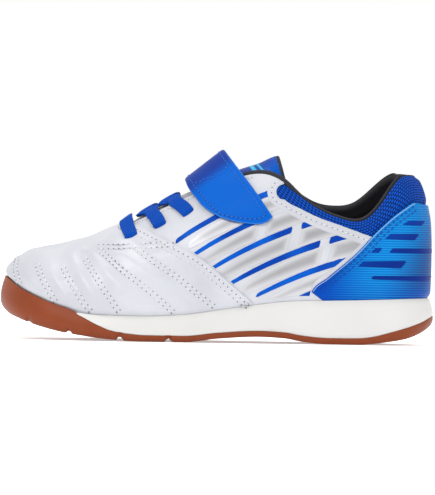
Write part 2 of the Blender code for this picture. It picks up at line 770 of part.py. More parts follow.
def largest_piece(points, faces):
    """The largest connected part of a sheet, with the crumbs that clipping leaves dropped."""
    owner = list(range(len(points)))

    def root(n):
        while owner[n] != n:
            owner[n] = owner[owner[n]]
            n = owner[n]
        return n

    for face in faces:
        for n in face[1:]:
            owner[root(n)] = root(face[0])
    counts = {}
    for face in faces:
        counts[root(face[0])] = counts.get(root(face[0]), 0) + 1
    main = max(counts, key=counts.get)
    faces = [f for f in faces if root(f[0]) == main]
    used = sorted({n for f in faces for n in f})
    place = {n: k for k, n in enumerate(used)}
    return points[used], [[place[n] for n in f] for f in faces]


def add_panel(name, points, faces, material, thickness=OVERLAY_THICKNESS):
    points, faces = largest_piece(points, faces)
    points = shrink_border(points, faces, FIT_GAP * 0.6)
    points, faces = thicken(points, faces, FIT_GAP, FIT_GAP + thickness)
    return add_object(name, points, faces, material)


def make_vamp(material):
    points, faces = panel_sheet(lambda p: -seam_field(p))
    return add_panel("vamp", points, faces, material)


def make_quarter(name, side, material):
    points, faces = panel_sheet(
        seam_field, quarter_top_field, lambda p: -counter_field(p), lambda p: p[:, 1] * side
    )
    return add_panel(name, points, faces, material)


def make_heel_counter(material):
    points, faces = panel_sheet(counter_field, lambda p: p[:, 0] - length_share(20.0))
    return add_panel("heel_counter", points, faces, material)


# Where the laces go through, in the side view. Columns: x and z in per cent as in EdgePoint.
SLOTS = (EdgePoint(-20.0, 60.7), EdgePoint(-13.4, 67.9), EdgePoint(-7.1, 75.3))

# The tongue where it shows between the edges of the throat. Columns in per cent: ridge_x of SOLE_LENGTH,
# ridge_z of COLLAR_HEIGHT, and tuck of BALL_WIDTH, how far its wings go under the eyestay.
TongueRow = namedtuple("TongueRow", "section ridge_x ridge_z tuck")
TONGUE_ROWS = (
    TongueRow(6.9, -21.7, 63.2, 4),
    TongueRow(7.3, -20.6, 67.2, 5),
    TongueRow(8.0, -17.4, 73.4, 6),
    TongueRow(8.5, -12.4, 80.2, 6),
    TongueRow(9.0, -7.0, 87.4, 6),
    TongueRow(9.5, -1.4, 93.2, 6),
    TongueRow(10.0, 3.4, 98.4, 6),
    TongueRow(10.5, 6.8, 101.6, 5),
    TongueRow(11.0, 9.4, 103.8, 3),
)

# The free top of the tongue. Columns in per cent: ridge and wing x of SOLE_LENGTH, ridge and wing z of
# COLLAR_HEIGHT, and width, half of it, of BALL_WIDTH.
TongueTop = namedtuple("TongueTop", "ridge_x ridge_z wing_x wing_z width")
TONGUE_TOP = (
    TongueTop(11.6, 106.6, 14.4, 88.0, 17.0),
    TongueTop(13.6, 108.6, 16.0, 87.0, 17.2),
)


def ring_knot(section, side):
    """The place on the ring of a fractional section number, on the outer or the inner side."""
    place = section if side < 0 else len(RING) - section
    return np.interp(place, np.arange(len(RING) + 1), np.append(RING_KNOTS, RING_LENGTH))


def arch(start, end, apex, bend, shares):
    """An elliptical arch between two points over an apex. bend is its half angle in degrees."""
    bend = math.radians(bend)
    middle = (start + end) / 2
    w = np.reshape(shares, (-1, 1)) * bend
    level = (end - start) / 2 * np.sin(w) / math.sin(bend)
    rise = (apex - middle) * (np.cos(w) - math.cos(bend)) / (1 - math.cos(bend))
    return middle + level + rise


TONGUE_SHARES = np.array([-1.0, -0.78, -0.5, -0.25, 0.0, 0.25, 0.5, 0.78, 1.0])


def under_upper(u, v, depth):
    u, v = np.array([u]), np.array([v])
    return (last_surface(u, v) - surface_normal(u, v) * depth)[0]


def tongue_grid():
    """Points of the tongue's outer face: rows along it, columns across."""
    grid = []
    depth = UPPER_WALL + 2.2 * FIT_GAP
    for level, narrow in ((46.0, 0.62), (56.5, 0.84)):
        ends = []
        for side in (-1, 1):
            u = ring_knot(6.0 - (62 - level) * 0.11, side)
            wing = under_upper(u, 0.97 - 0.22 * narrow, depth + 0.0006)
            neck = under_upper(u, 0.97 - 0.10 * narrow, depth + 0.0004)
            ends.append((wing, neck))
        x = length_share(-27.0 if level < 50 else -23.6)
        s = np.interp(x, [p[0] for p in RIDGE(RING_KNOTS[:7])], RING_KNOTS[:7])
        slope = ridge_slope(np.array([s]))[0]
        apex = RIDGE(s)[0] - unit(np.array([-slope, 0, 1])) * (depth + 0.0004)
        row = arch(ends[0][1], ends[1][1], apex, 40, TONGUE_SHARES)
        grid.append(np.vstack([ends[0][0], row, ends[1][0]]))
    for row in TONGUE_ROWS:
        necks, wings = [], []
        for side in (-1, 1):
            u = ring_knot(row.section, side)
            pad = float(np.clip(SHAPE(u)[0, 4], 0, 1)) * COLLAR_PAD
            necks.append(under_upper(u, 0.985, depth + pad + 0.0003))
            wings.append(under_upper(u, 0.985 - 0.018 * row.tuck, depth + pad + 0.0004))
        apex = np.array([length_share(row.ridge_x), 0, height_share(row.ridge_z)])
        line = arch(necks[0], necks[1], apex, 72, TONGUE_SHARES)
        grid.append(np.vstack([wings[0], line, wings[1]]))
    for row in TONGUE_TOP:
        apex = np.array([length_share(row.ridge_x), 0, height_share(row.ridge_z)])
        ends = [
            np.array(
                [
                    length_share(row.wing_x),
                    side * width_share(row.width),
                    height_share(row.wing_z),
                ]
            )
            for side in (-1, 1)
        ]
        line = arch(ends[0], ends[1], apex, 80, TONGUE_SHARES)
        low = np.array([0.0012, 0, -0.0045])
        grid.append(np.vstack([ends[0] + low, line, ends[1] + low]))
    return np.array(grid)


def make_tongue(material):
    grid = tongue_grid()
    rows, columns = grid.shape[:2]
    index = np.arange(rows * columns).reshape(rows, columns)
    faces = grid_triangles(index, False)
    across = np.abs(np.linspace(-1, 1, columns))
    full = np.tile(1 - 0.6 * smoothstep(0.55, 1.0, across), (rows, 1))
    full[:2] *= 0.5
    points, faces = thicken(
        grid.reshape(-1, 3), faces, -TONGUE_THICKNESS * full.ravel(), 0.0, 0.0006
    )
    return add_object("tongue", points, faces, material)


def make_tongue_panel(material):
    grid = tongue_grid()[-6:, 2:-2]
    rows, columns = grid.shape[:2]
    index = np.arange(rows * columns).reshape(rows, columns)
    points = grid.reshape(-1, 3).copy()
    faces = grid_triangles(index, False)
    points = shrink_border(points, faces, TONGUE_BORDER * 0.5)
    points, faces = thicken(points, faces, FIT_GAP * 1.6, FIT_GAP * 1.6 + TONGUE_PANEL_THICKNESS)
    return add_object("tongue_panel", points, faces, material)


def tongue_ridge(x):
    """The height of the tongue's ridge at x."""
    rows = [(length_share(r.ridge_x), height_share(r.ridge_z)) for r in TONGUE_ROWS]
    return np.interp(x, [r[0] for r in rows], [r[1] for r in rows])


def curve_through(points, count):
    """Points spaced along a smooth curve through the given ones."""
    points = np.asarray(points, float)
    steps = np.linalg.norm(np.diff(points, axis=0), axis=1)
    knots = np.concatenate([[0], np.cumsum(steps)])
    curve = spline(knots, points)
    fine = curve(np.linspace(0, knots[-1], 400))
    length = np.concatenate([[0], np.cumsum(np.linalg.norm(np.diff(fine, axis=0), axis=1))])
    at = np.interp(np.linspace(0, length[-1], count), length, np.linspace(0, knots[-1], 400))
    return curve(at)


def ribbon(path, normals, width, thickness):
    """A closed flat ribbon along a path. normals point away from its face at each point."""
    along = unit(np.gradient(path, axis=0))
    side = unit(np.cross(normals, along))
    normal = np.cross(along, side)
    half, chamfer = width / 2, thickness * 0.35
    profile = [
        (-half, 0.0),
        (-half + chamfer, -thickness / 2),
        (half - chamfer, -thickness / 2),
        (half, 0.0),
        (half - chamfer, thickness / 2),
        (-half + chamfer, thickness / 2),
    ]
    rings = [path + side * a + normal * b for a, b in profile]
    points = np.stack(rings, axis=1)
    count, corners = points.shape[:2]
    index = np.arange(count * corners).reshape(count, corners)
    faces = grid_triangles(np.column_stack([index, index[:, 0]]), False)
    faces = [f[::-1] for f in faces]
    first, last = index[0].tolist(), index[-1].tolist()
    faces += [[first[0], first[n + 1], first[n]] for n in range(1, corners - 1)]
    faces += [[last[0], last[n], last[n + 1]] for n in range(1, corners - 1)]
    points = points.reshape(-1, 3)
    a, b, c = np.moveaxis(points[np.array(faces)], 1, 0)
    volume = np.sum(a * np.cross(b, c))
    return points, faces if volume > 0 else [f[::-1] for f in faces]


LACE_LIFT = 2 * FIT_GAP + OVERLAY_THICKNESS + LACE_THICKNESS / 2 + 0.0002


# Where the strands of each crossing come up beside the tongue, cross its ridge and pass over the edge of
# the throat, as per cent of SOLE_LENGTH from mid-length.
Crossing = namedtuple("Crossing", "start apex edge")
CROSSINGS = (Crossing(-18.4, -15.8, -14.9), Crossing(-13.4, -11.0, -9.6))


def throat_place(share, side):
    """The place on the ring where the edge of the throat is at a share of the length."""
    places = np.array([ring_knot(n, side) for n in np.linspace(6.0, 10.0, 200)])
    return np.interp(length_share(share), OPEN_EDGE(places)[:, 0], places)


def slot_points(number, edge, side):
    """Points and normals of the lace from a slot to the edge of the throat."""
    slot = SLOTS[number]
    x, z = length_share(slot.x), height_share(slot.z)
    u, v = on_upper(np.array([x]), np.array([z]), side)
    share = np.array([0.0, 0.5, 1.0])
    places = u[0] + (throat_place(edge, side) - u[0]) * share
    levels = v[0] + (0.999 - v[0]) * share
    normals = surface_normal(places, levels)
    return last_surface(places, levels) + normals * LACE_LIFT, normals


def ridge_normal(x):
    rise = (tongue_ridge(x + 0.005) - tongue_ridge(x - 0.005)) / 0.010
    return unit(np.array([-float(rise), 0.0, 1.0]))


def between_normals(start, end, apex, shares):
    """Normals that turn evenly from start over apex to end."""
    rows = [
        start * max(-s, 0) + end * max(s, 0) + apex * (1 - abs(s)) for s in shares
    ]
    return unit(np.array(rows))


# The lace bar beside the throat, in the side view, in the columns of EdgePoint.
BAR_SIDE = (EdgePoint(-20.0, 60.7), EdgePoint(-20.5, 64.8), EdgePoint(-20.8, 67.6))


def lace_bar_path():
    sides = []
    for side in (-1, 1):
        x = np.array([length_share(p.x) for p in BAR_SIDE])
        z = np.array([height_share(p.z) for p in BAR_SIDE])
        u, v = on_upper(x, z, side)
        normals = surface_normal(u, v)
        lift = np.array([[0.0003], [0.0009], [0.0015]]) + LACE_LIFT
        sides.append((last_surface(u, v) + normals * lift, normals))
    (outer, outer_normals), (inner, inner_normals) = sides
    apex = np.array([length_share(-21.2), 0, height_share(71.8)])
    apex_normal = unit(np.array([-0.78, 0, 1.0]))
    shares = [-0.55, 0.0, 0.55]
    line = arch(outer[2], inner[2], apex, 62, shares)
    turned = between_normals(outer_normals[2], inner_normals[2], apex_normal, shares)
    points = np.vstack([outer, line, inner[::-1]])
    return points, np.vstack([outer_normals, turned, inner_normals[::-1]])


def lace_strand_path(low, high, side, stack):
    """A strand that comes up beside the tongue and goes over its ridge to a slot on the other side."""
    crossing = CROSSINGS[low]
    below = last_surface(throat_place(crossing.start, -side), 0.999).reshape(3)
    above, above_normals = slot_points(high, crossing.edge, side)
    x = length_share(crossing.apex)
    lift = FIT_GAP + LACE_THICKNESS / 2 + 0.0003 + stack
    apex_normal = ridge_normal(x)
    apex = np.array([x, 0, tongue_ridge(x)]) + apex_normal * lift
    shares = [-0.55, -0.28, 0.0, 0.5]
    line = arch(below, above[2], apex, 62, shares)
    beside = unit(np.array([0, -side * 1.0, 0.6]))
    turned = between_normals(beside, above_normals[2], apex_normal, shares)
    points = np.vstack([line, above[::-1]])
    return points, np.vstack([turned, above_normals[::-1]])


def make_ribbon(name, points, normals, material, count=17):
    steps = np.linalg.norm(np.diff(points, axis=0), axis=1)
    length = np.concatenate([[0], np.cumsum(steps)])
    path = curve_through(points, count)
    steps = np.linalg.norm(np.diff(path, axis=0), axis=1)
    at = np.concatenate([[0], np.cumsum(steps)])
    at *= length[-1] / at[-1]
    turned = np.column_stack([np.interp(at, length, normals[:, k]) for k in range(3)])
    points, faces = ribbon(path, unit(turned), LACE_WIDTH, LACE_THICKNESS)
    return add_object(name, points, faces, material)


def make_crossing(name, low, high, material):
    """Two strands that cross on the tongue, joined as one solid."""
    lower = make_ribbon(name, *lace_strand_path(low, high, -1, 0.0), material)
    stacked = lace_strand_path(low, high, 1, LACE_THICKNESS * 0.8)
    upper = make_ribbon(name + "_over", *stacked, material)
    upper.hide_render = True
    upper.display_type = "WIRE"
    modifier = lower.modifiers.new("join", "BOOLEAN")
    modifier.operation = "UNION"
    modifier.solver = "EXACT"
    modifier.object = upper
    return lower


# The strap in the side view, from its middle over the instep to its end. Columns in per cent: left and
# right edge x of SOLE_LENGTH and z of COLLAR_HEIGHT; y of BALL_WIDTH, or 0 where it lies on the upper.
StrapRow = namedtuple("StrapRow", "left_x left_z right_x right_z y")
STRAP_TOP = StrapRow(-7.7, 94.6, 1.0, 112.4, 0.0)
STRAP_OUTER = (
    StrapRow(-7.4, 92.9, 1.8, 109.8, -8.6),
    StrapRow(-6.4, 88.4, 3.6, 103.8, -16.0),
    StrapRow(-5.2, 84.0, 6.1, 95.2, 0.0),
    StrapRow(-3.2, 78.0, 9.2, 84.6, 0.0),
)
STRAP_END = (
    EdgePoint(0.4, 72.3),
    EdgePoint(3.2, 70.4),
    EdgePoint(6.8, 69.2),
    EdgePoint(10.3, 69.6),
    EdgePoint(12.3, 73.2),
)
STRAP_INNER = (
    StrapRow(-7.4, 92.9, 1.8, 109.8, 8.6),
    StrapRow(-6.4, 88.4, 3.6, 103.8, 16.0),
    StrapRow(-5.2, 84.0, 6.1, 95.2, 0.0),
    StrapRow(-3.6, 73.0, 8.2, 81.4, 0.0),
    StrapRow(-2.2, 62.0, 9.4, 68.0, 0.0),
)
STRAP_LIFT = 2 * FIT_GAP + OVERLAY_THICKNESS + STRAP_THICKNESS / 2 + 0.0003
STRAP_COLUMNS = 5


def strap_row(row, side):
    w = np.linspace(0, 1, STRAP_COLUMNS)
    x = length_share(row.left_x * (1 - w) + row.right_x * w)
    z = height_share(row.left_z * (1 - w) + row.right_z * w)
    if row.y or not side:
        return np.column_stack([x, np.full(len(w), width_share(row.y)), z])
    return lifted(x, z, side, STRAP_LIFT)


def strap_grid():
    outer_end = lifted(
        [length_share(p.x) for p in STRAP_END],
        [height_share(p.z) for p in STRAP_END],
        -1,
        STRAP_LIFT,
    )
    rows = [strap_row(r, 1) for r in reversed(STRAP_INNER)]
    rows.append(strap_row(STRAP_TOP, 0))
    rows += [strap_row(r, -1) for r in STRAP_OUTER]
    rows.append(outer_end)
    rows = np.array(rows)
    columns = [curve_through(rows[:, k], 19) for k in range(STRAP_COLUMNS)]
    return np.stack(columns, axis=1)


def make_strap(material):
    grid = strap_grid()
    count, columns = grid.shape[:2]
    index = np.arange(count * columns).reshape(count, columns)
    faces = [f[::-1] for f in grid_triangles(index, False)]
    points = grid.reshape(-1, 3)
    middle = vertex_normals(points, faces)[index[count // 2, 2]]
    if middle[2] < 0:
        faces = [f[::-1] for f in faces]
    half = STRAP_THICKNESS / 2
    points, faces = thicken(points, faces, -half, half, 0.0004)
    return add_object("strap", points, faces, material)


def main():
    clear_scene()
    white = add_material("white leather", (0.74, 0.75, 0.80), 0.42)
    foam = add_material("foam", (0.80, 0.80, 0.77), 0.5)
    gum = add_material("gum", (0.38, 0.11, 0.045), 0.5)
    mesh = add_material("mesh", (0.005, 0.03, 0.30), 0.8)
    counter = add_material("counter", (0.01, 0.12, 0.50), 0.4)
    grey = add_material("tongue fabric", (0.35, 0.37, 0.42), 0.7)
    satin = add_material("blue satin", (0.01, 0.10, 0.55), 0.45)
    lace = add_material("lace", (0.005, 0.06, 0.50), 0.75)
    make_upper(mesh)
    make_midsole(foam)
    outsole = make_outsole(gum)
    cut_flex_grooves(outsole)
    make_insole(mesh)
    make_vamp(white)
    make_quarter("quarter_outer", -1, white)
    make_quarter("quarter_inner", 1, white)
    make_heel_counter(counter)
    make_tongue(grey)
    make_tongue_panel(satin)
    make_ribbon("lace_bar", *lace_bar_path(), lace)
    make_crossing("lace_cross_lower", 0, 1, lace)
    make_crossing("lace_cross_upper", 1, 2, lace)
    make_strap(satin)


main()
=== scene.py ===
"""Looks of the indoor soccer shoe: skins, panels, stitches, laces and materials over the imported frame.

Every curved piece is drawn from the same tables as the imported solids: the sections around the last and
the heights along the sole. Lengths are in metres where nothing else is said.
"""

import math
from collections import namedtuple

import bpy
import numpy as np
from mathutils import Matrix, Vector


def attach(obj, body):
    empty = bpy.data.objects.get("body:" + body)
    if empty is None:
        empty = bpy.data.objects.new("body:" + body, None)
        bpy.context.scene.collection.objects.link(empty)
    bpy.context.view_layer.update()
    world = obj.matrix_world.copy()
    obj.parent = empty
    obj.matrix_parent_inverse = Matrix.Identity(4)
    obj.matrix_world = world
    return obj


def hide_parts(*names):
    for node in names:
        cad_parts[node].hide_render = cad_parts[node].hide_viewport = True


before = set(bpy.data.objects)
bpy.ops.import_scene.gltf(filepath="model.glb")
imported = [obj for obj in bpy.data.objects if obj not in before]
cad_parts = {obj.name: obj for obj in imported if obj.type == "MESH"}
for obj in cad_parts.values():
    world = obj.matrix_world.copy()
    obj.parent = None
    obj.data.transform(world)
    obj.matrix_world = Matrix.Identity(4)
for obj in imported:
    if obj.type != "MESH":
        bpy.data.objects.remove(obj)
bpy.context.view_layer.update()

# Driving sizes.
SOLE_LENGTH = 0.215
BALL_WIDTH = 0.081
COLLAR_HEIGHT = 0.0843
HEEL_STACK = 0.0232

# Walls, layers and gaps.
FIT_GAP = 0.0003
UPPER_WALL = 0.0018
COLLAR_PAD = 0.0038
OVERLAY_THICKNESS = 0.0009
RIM_THICKNESS = 0.0009
GUM_LAYER = 0.0026
SOLE_FLARE = 0.0022
TUCK_UNDER = 0.0020
INSOLE_THICKNESS = 0.0030
TONGUE_THICKNESS = 0.0042
PANEL_THICKNESS = 0.0008
STRAP_THICKNESS = 0.0018
LACE_WIDTH = 0.0070
LACE_THICKNESS = 0.0010
GROOVE_WIDTH = 0.0034
GROOVE_DEPTH = 0.0017
QUARTER_THICKNESS = 0.0008
VAMP_THICKNESS = 0.0010
COUNTER_THICKNESS = 0.0009
SEAM_OVERLAP = 0.0032
MESH_SWELL = 0.0010

# How far the shoe is moved across, so that the middle of its width is at y = 0.
CENTRE_SHIFT = 0.0019

# How finely the visible skins follow the curves.
FINE_STEPS = 16
FINE_ROWS = 92
SOLE_STEPS = 14

MM = 0.001
PER_CENT = 0.01
BOTH_SIDES = (-1, 1)

# Sections around the last in per cent. Columns: edge_x of SOLE_LENGTH from mid-length, then the wall's
# rise, crown, reach and pad, then for the outer and the inner side edge_y of BALL_WIDTH, top_x, top_y and
# top_z of the three sizes, and lean. The wall leans out at its foot and turns down from level at its top,
# both in degrees. It keeps those directions over the shares rise and reach. pad is a share of COLLAR_PAD.
TOE = (-50.0, 4.9, -41.9, 3.7, 50.5, 2, 0.42, 0, 0.42, 0)
HEEL = (50.0, 0.0, 44.9, 0.0, 99.8, 2, 0.58, 50, 0.18, 1)
SECTIONS = (
    (-48.7, 0.42, 0, 0.42, 0, (-12.6, -40.9, 3.3, 51.0, 2), (21.6, -40.9, 3.3, 51.0, 2)),
    (-45.7, 0.42, 0, 0.42, 0, (-26.9, -39.3, 2.7, 52.0, 3), (33.1, -39.3, 2.7, 52.0, 3)),
    (-40.9, 0.42, 0, 0.42, 0, (-37.8, -36.7, 2.1, 53.4, 4), (40.7, -36.7, 2.1, 53.4, 4)),
    (-35.1, 0.42, 0, 0.42, 0, (-44.9, -32.8, 1.4, 56.5, 5), (45.6, -32.8, 1.4, 56.5, 5)),
    (-28.4, 0.42, 0, 0.42, 0, (-49.4, -27.9, 0.6, 60.7, 6), (47.8, -27.9, 0.6, 60.7, 6)),
    (-21.6, 0.42, 0, 0.42, 0, (-51.9, -22.6, 0.0, 66.1, 6), (47.4, -22.6, 0.0, 66.1, 6)),
    (-17.2, 0.40, 8, 0.36, 0, (-52.6, -21.4, -8.4, 66.3, 6), (46.0, -21.4, 8.4, 66.3, 5)),
    (-11.2, 0.38, 24, 0.33, 0, (-52.1, -15.3, -12.1, 73.1, 5), (43.2, -15.3, 12.1, 73.1, 3)),
    (-2.8, 0.36, 36, 0.30, 0, (-49.1, -6.0, -14.2, 84.8, 3), (38.6, -6.0, 14.2, 84.8, 0)),
    (6.5, 0.36, 48, 0.28, 0, (-44.2, 4.2, -16.7, 95.4, 2), (35.8, 4.2, 16.7, 95.4, -1)),
    (14.9, 0.40, 55, 0.25, 0.4, (-40.7, 12.6, -21.6, 96.8, 2), (35.5, 12.6, 21.6, 96.8, 0)),
    (23.3, 0.45, 52, 0.22, 1, (-38.8, 21.2, -27.2, 82.2, 2), (36.3, 21.2, 27.2, 83.4, 2)),
    (30.7, 0.50, 50, 0.22, 1, (-37.9, 28.4, -29.4, 73.9, 2), (36.9, 27.4, 29.4, 79.8, 2)),
    (36.5, 0.52, 48, 0.22, 1, (-36.6, 33.6, -28.1, 73.8, 2), (36.1, 32.1, 28.1, 82.8, 2)),
    (40.9, 0.55, 44, 0.20, 1, (-34.1, 37.3, -24.4, 83.5, 3), (33.6, 36.0, 24.4, 91.4, 3)),
    (45.1, 0.57, 46, 0.19, 1, (-27.9, 40.8, -17.9, 96.8, 2), (27.5, 39.8, 17.9, 99.2, 2)),
    (48.4, 0.58, 49, 0.18, 1, (-17.0, 43.4, -9.9, 100.0, 2), (16.8, 43.1, 9.9, 100.2, 2)),
)
CLOSED_SECTIONS = 6

# Heights along the sole. Columns in per cent: x of SOLE_LENGTH from mid-length, and of HEEL_STACK the
# ground side, the top edge of the gum, the top edge of the side wall and the bed under the foot.
SOLE_ROWS = (
    (-50.0, 72.0, 130.0, 131.0, 102.0),
    (-47.8, 53.0, 114.0, 115.0, 87.0),
    (-45.8, 45.0, 103.5, 104.5, 76.0),
    (-42.1, 32.5, 88.0, 89.5, 62.0),
    (-38.4, 23.0, 74.5, 76.5, 52.5),
    (-34.7, 15.5, 62.5, 66.0, 47.0),
    (-32.8, 12.7, 57.0, 60.5, 44.8),
    (-30.9, 10.3, 49.5, 57.5, 43.0),
    (-27.2, 5.6, 32.5, 54.8, 40.5),
    (-23.5, 2.6, 20.0, 53.8, 38.8),
    (-19.5, 0.4, 15.0, 53.4, 38.0),
    (-16.5, 0.0, 13.0, 53.5, 37.6),
    (-7.5, 0.0, 12.8, 58.0, 39.0),
    (0.5, 8.5, 20.5, 68.5, 46.0),
    (9.8, 13.4, 25.8, 81.8, 57.8),
    (15.5, 11.0, 23.5, 88.8, 64.2),
    (19.5, 4.8, 17.5, 91.2, 67.2),
    (23.5, 0.8, 13.6, 92.2, 69.4),
    (25.5, 0.0, 12.8, 92.6, 70.2),
    (32.5, 0.0, 13.2, 94.5, 72.8),
    (36.0, 2.4, 17.0, 95.8, 73.8),
    (39.6, 6.8, 25.5, 97.0, 74.6),
    (43.3, 13.0, 35.5, 98.3, 75.5),
    (47.0, 26.0, 47.5, 99.5, 76.8),
    (50.0, 44.0, 62.0, 100.0, 78.5),
)

# Panel edges in the side view: x in per cent of SOLE_LENGTH from mid-length, z of COLLAR_HEIGHT.
VAMP_SEAM = (
    (-22.3, 69.0), (-19.1, 66.5), (-13.4, 59.8), (-7.8, 52.9), (-3.9, 47.8), (1.1, 37.8), (8.9, 21.5),
)
COUNTER_EDGE = (
    (20.6, 18.0), (21.8, 31.0), (25.3, 38.6), (31.7, 52.8), (37.0, 67.2),
    (42.7, 79.8), (44.7, 83.0), (46.5, 82.4), (50.0, 80.2),
)
QUARTER_TOP = (
    (13.2, 98.5), (13.8, 90.0), (14.5, 85.4), (15.7, 82.4),
    (18.4, 78.9), (23.3, 73.2), (27.9, 69.2), (35.5, 62.6),
)


def length_share(per_cent):
    return per_cent * PER_CENT * SOLE_LENGTH


def metres(rows, *sizes):
    """Rows of per cent as metres, with one size for each column."""
    return np.array(rows, float) * PER_CENT * sizes


def side_metres(rows):
    return metres(rows, SOLE_LENGTH, COLLAR_HEIGHT)


def walked(path):
    """The distance along a path, or along each row of a grid, at each of its points."""
    steps = np.linalg.norm(np.diff(path, axis=-2), axis=-1)
    return np.insert(np.cumsum(steps, axis=-1), 0, 0, axis=-1)


def spline(knots, values, period=None):
    """A curve with smooth curvature through values at knots: a function of an array of parameters."""
    t = np.asarray(knots, float)
    p = np.asarray(values, float).reshape(len(t), -1)
    if period:
        t = np.append(t, t[0] + period)
        p = np.vstack([p, p[:1]])
    n = len(t)
    h = np.diff(t)
    slope = np.diff(p, axis=0) / h[:, None]
    system = np.zeros((n, n))
    right = np.zeros_like(p)
    for i in range(1, n - 1):
        system[i, i - 1 : i + 2] = h[i - 1], 2 * (h[i - 1] + h[i]), h[i]
        right[i] = 6 * (slope[i] - slope[i - 1])
    if period:
        system[0, :2] = 2 * (h[-1] + h[0]), h[0]
        system[0, n - 2] = h[-1]
        right[0] = 6 * (slope[0] - slope[-1])
        system[-1, [0, -1]] = 1, -1
    else:
        system[0, 0] = system[-1, -1] = 1
    bend = np.linalg.solve(system, right)

    def at(u):
        u = np.atleast_1d(np.asarray(u, float))
        if period:
            u = t[0] + np.mod(u - t[0], period)
        k = np.clip(np.searchsorted(t, u, side="right") - 1, 0, n - 2)
        a = ((t[k + 1] - u) / h[k])[:, None]
        b = 1 - a
        curved = ((a**3 - a) * bend[k] + (b**3 - b) * bend[k + 1]) * h[k][:, None] ** 2 / 6
        return a * p[k] + b * p[k + 1] + curved

    return at


def gentle(knots, values):
    """A curve through values at knots that never passes beyond its neighbours' heights."""
    t = np.asarray(knots, float)
    p = np.asarray(values, float)
    h = np.diff(t)
    slope = np.diff(p) / h
    tangent = np.zeros(len(t))
    tangent[0], tangent[-1] = slope[0], slope[-1]
    for i in range(1, len(t) - 1):
        if slope[i - 1] * slope[i] > 0:
            first, second = 2 * h[i] + h[i - 1], h[i] + 2 * h[i - 1]
            tangent[i] = (first + second) / (first / slope[i - 1] + second / slope[i])

    def at(x):
        x = np.clip(np.asarray(x, float), t[0], t[-1])
        k = np.clip(np.searchsorted(t, x, side="right") - 1, 0, len(t) - 2)
        s = (x - t[k]) / h[k]
        start = p[k] * (1 + 2 * s) * (1 - s) ** 2 + tangent[k] * h[k] * s * (1 - s) ** 2
        end = p[k + 1] * s**2 * (3 - 2 * s) - tangent[k + 1] * h[k] * s**2 * (1 - s)
        return start + end

    return at


def smoothstep(low, high, x):
    s = np.clip((np.asarray(x, float) - low) / (high - low), 0, 1)
    return s * s * (3 - 2 * s)


def unit(vectors):
    return vectors / np.maximum(np.linalg.norm(vectors, axis=-1, keepdims=True), 1e-12)


SOLE_TABLE = metres(SOLE_ROWS, SOLE_LENGTH, *[HEEL_STACK] * 4).T
GROUND, GUM_TOP, RIM_TOP, BED = (gentle(SOLE_TABLE[0], heights) for heights in SOLE_TABLE[1:])
SEAM, COUNTER, QUARTER = (gentle(*side_metres(rows).T) for rows in (VAMP_SEAM, COUNTER_EDGE, QUARTER_TOP))


def section(row, side):
    """The ten values of a section in the order of TOE and HEEL: edge, top, lean, rise, crown, reach, pad."""
    return (row[0], *row[5 if side < 0 else 6], *row[1:5])


# The ring of sections runs from the toe along the outer side to the heel and back along the inner side.
OUTER, INNER = ([section(row, side) for row in SECTIONS] for side in BOTH_SIDES)
RING = np.array([TOE, *OUTER, HEEL, *INNER[::-1]], float)
HALF = len(SECTIONS) + 1
RING_EDGE = metres(RING[:, :2], SOLE_LENGTH, BALL_WIDTH)
RING_TOP = metres(RING[:, 2:5], SOLE_LENGTH, BALL_WIDTH, COLLAR_HEIGHT)
RING_ENDS = walked(np.vstack([RING_EDGE, RING_EDGE[:1]]))
RING_KNOTS, RING_LENGTH = RING_ENDS[:-1], RING_ENDS[-1]
EDGE = spline(RING_KNOTS, RING_EDGE, period=RING_LENGTH)
SHAPE = spline(RING_KNOTS, RING[:, 5:] * [math.radians(1), 1, math.radians(1), 1, 1], period=RING_LENGTH)
OPENED = slice(CLOSED_SECTIONS, len(RING) - CLOSED_SECTIONS + 1)
RIDGE_END, RIDGE_START_AGAIN = RING_KNOTS[OPENED][[0, -1]]
OPEN_EDGE = spline(RING_KNOTS[OPENED], RING_TOP[OPENED])
FRONT_KNOTS, FRONT_TOP = RING_KNOTS[: CLOSED_SECTIONS + 1], RING_TOP[: CLOSED_SECTIONS + 1]
RIDGE = spline([*-FRONT_KNOTS[:0:-1], *FRONT_KNOTS], [*FRONT_TOP[:0:-1], *FRONT_TOP])


def ring_stations(steps):
    """Parameters around the ring: each section, and steps - 1 places between it and the next."""
    shares = np.arange(steps) / steps
    return (RING_ENDS[:-1, None] + shares * np.diff(RING_ENDS)[:, None]).ravel()


def mirror_station(u):
    """The place on the ring across the ridge from each place u."""
    numbers = np.arange(len(RING_ENDS))
    return np.interp(len(RING) - np.interp(u, RING_ENDS, numbers), numbers, RING_ENDS)


def outward(u):
    """Unit plan normals of the sole's outline."""
    step = RING_LENGTH * 1e-4
    along = EDGE(u + step) - EDGE(u - step)
    return unit(np.column_stack([along[:, 1], -along[:, 0]]))


def outline(u, inset):
    return EDGE(u) - outward(u) * np.reshape(inset, (-1, 1))


def is_closed(u):
    return (u <= RIDGE_END) | (u >= RIDGE_START_AGAIN)


def ridge_parameter(u):
    """The distance from the toe at which both halves of the vamp meet the ridge."""
    return np.where(u <= RIDGE_END, u, mirror_station(u))


def top_edge(u):
    """Where each section ends: on the vamp's ridge, or on the edge of the throat and collar."""
    closed = is_closed(u)
    ridge = RIDGE(np.where(closed, ridge_parameter(u), 0))
    opened = OPEN_EDGE(np.clip(u, RIDGE_END, RIDGE_START_AGAIN))
    return np.where(closed[:, None], ridge, opened)


def ridge_slope(u):
    step = RING_LENGTH * 1e-3
    s = np.maximum(ridge_parameter(u), 2 * step)
    change = RIDGE(s + step) - RIDGE(s - step)
    return np.where(is_closed(u), change[:, 2] / change[:, 0], 0)


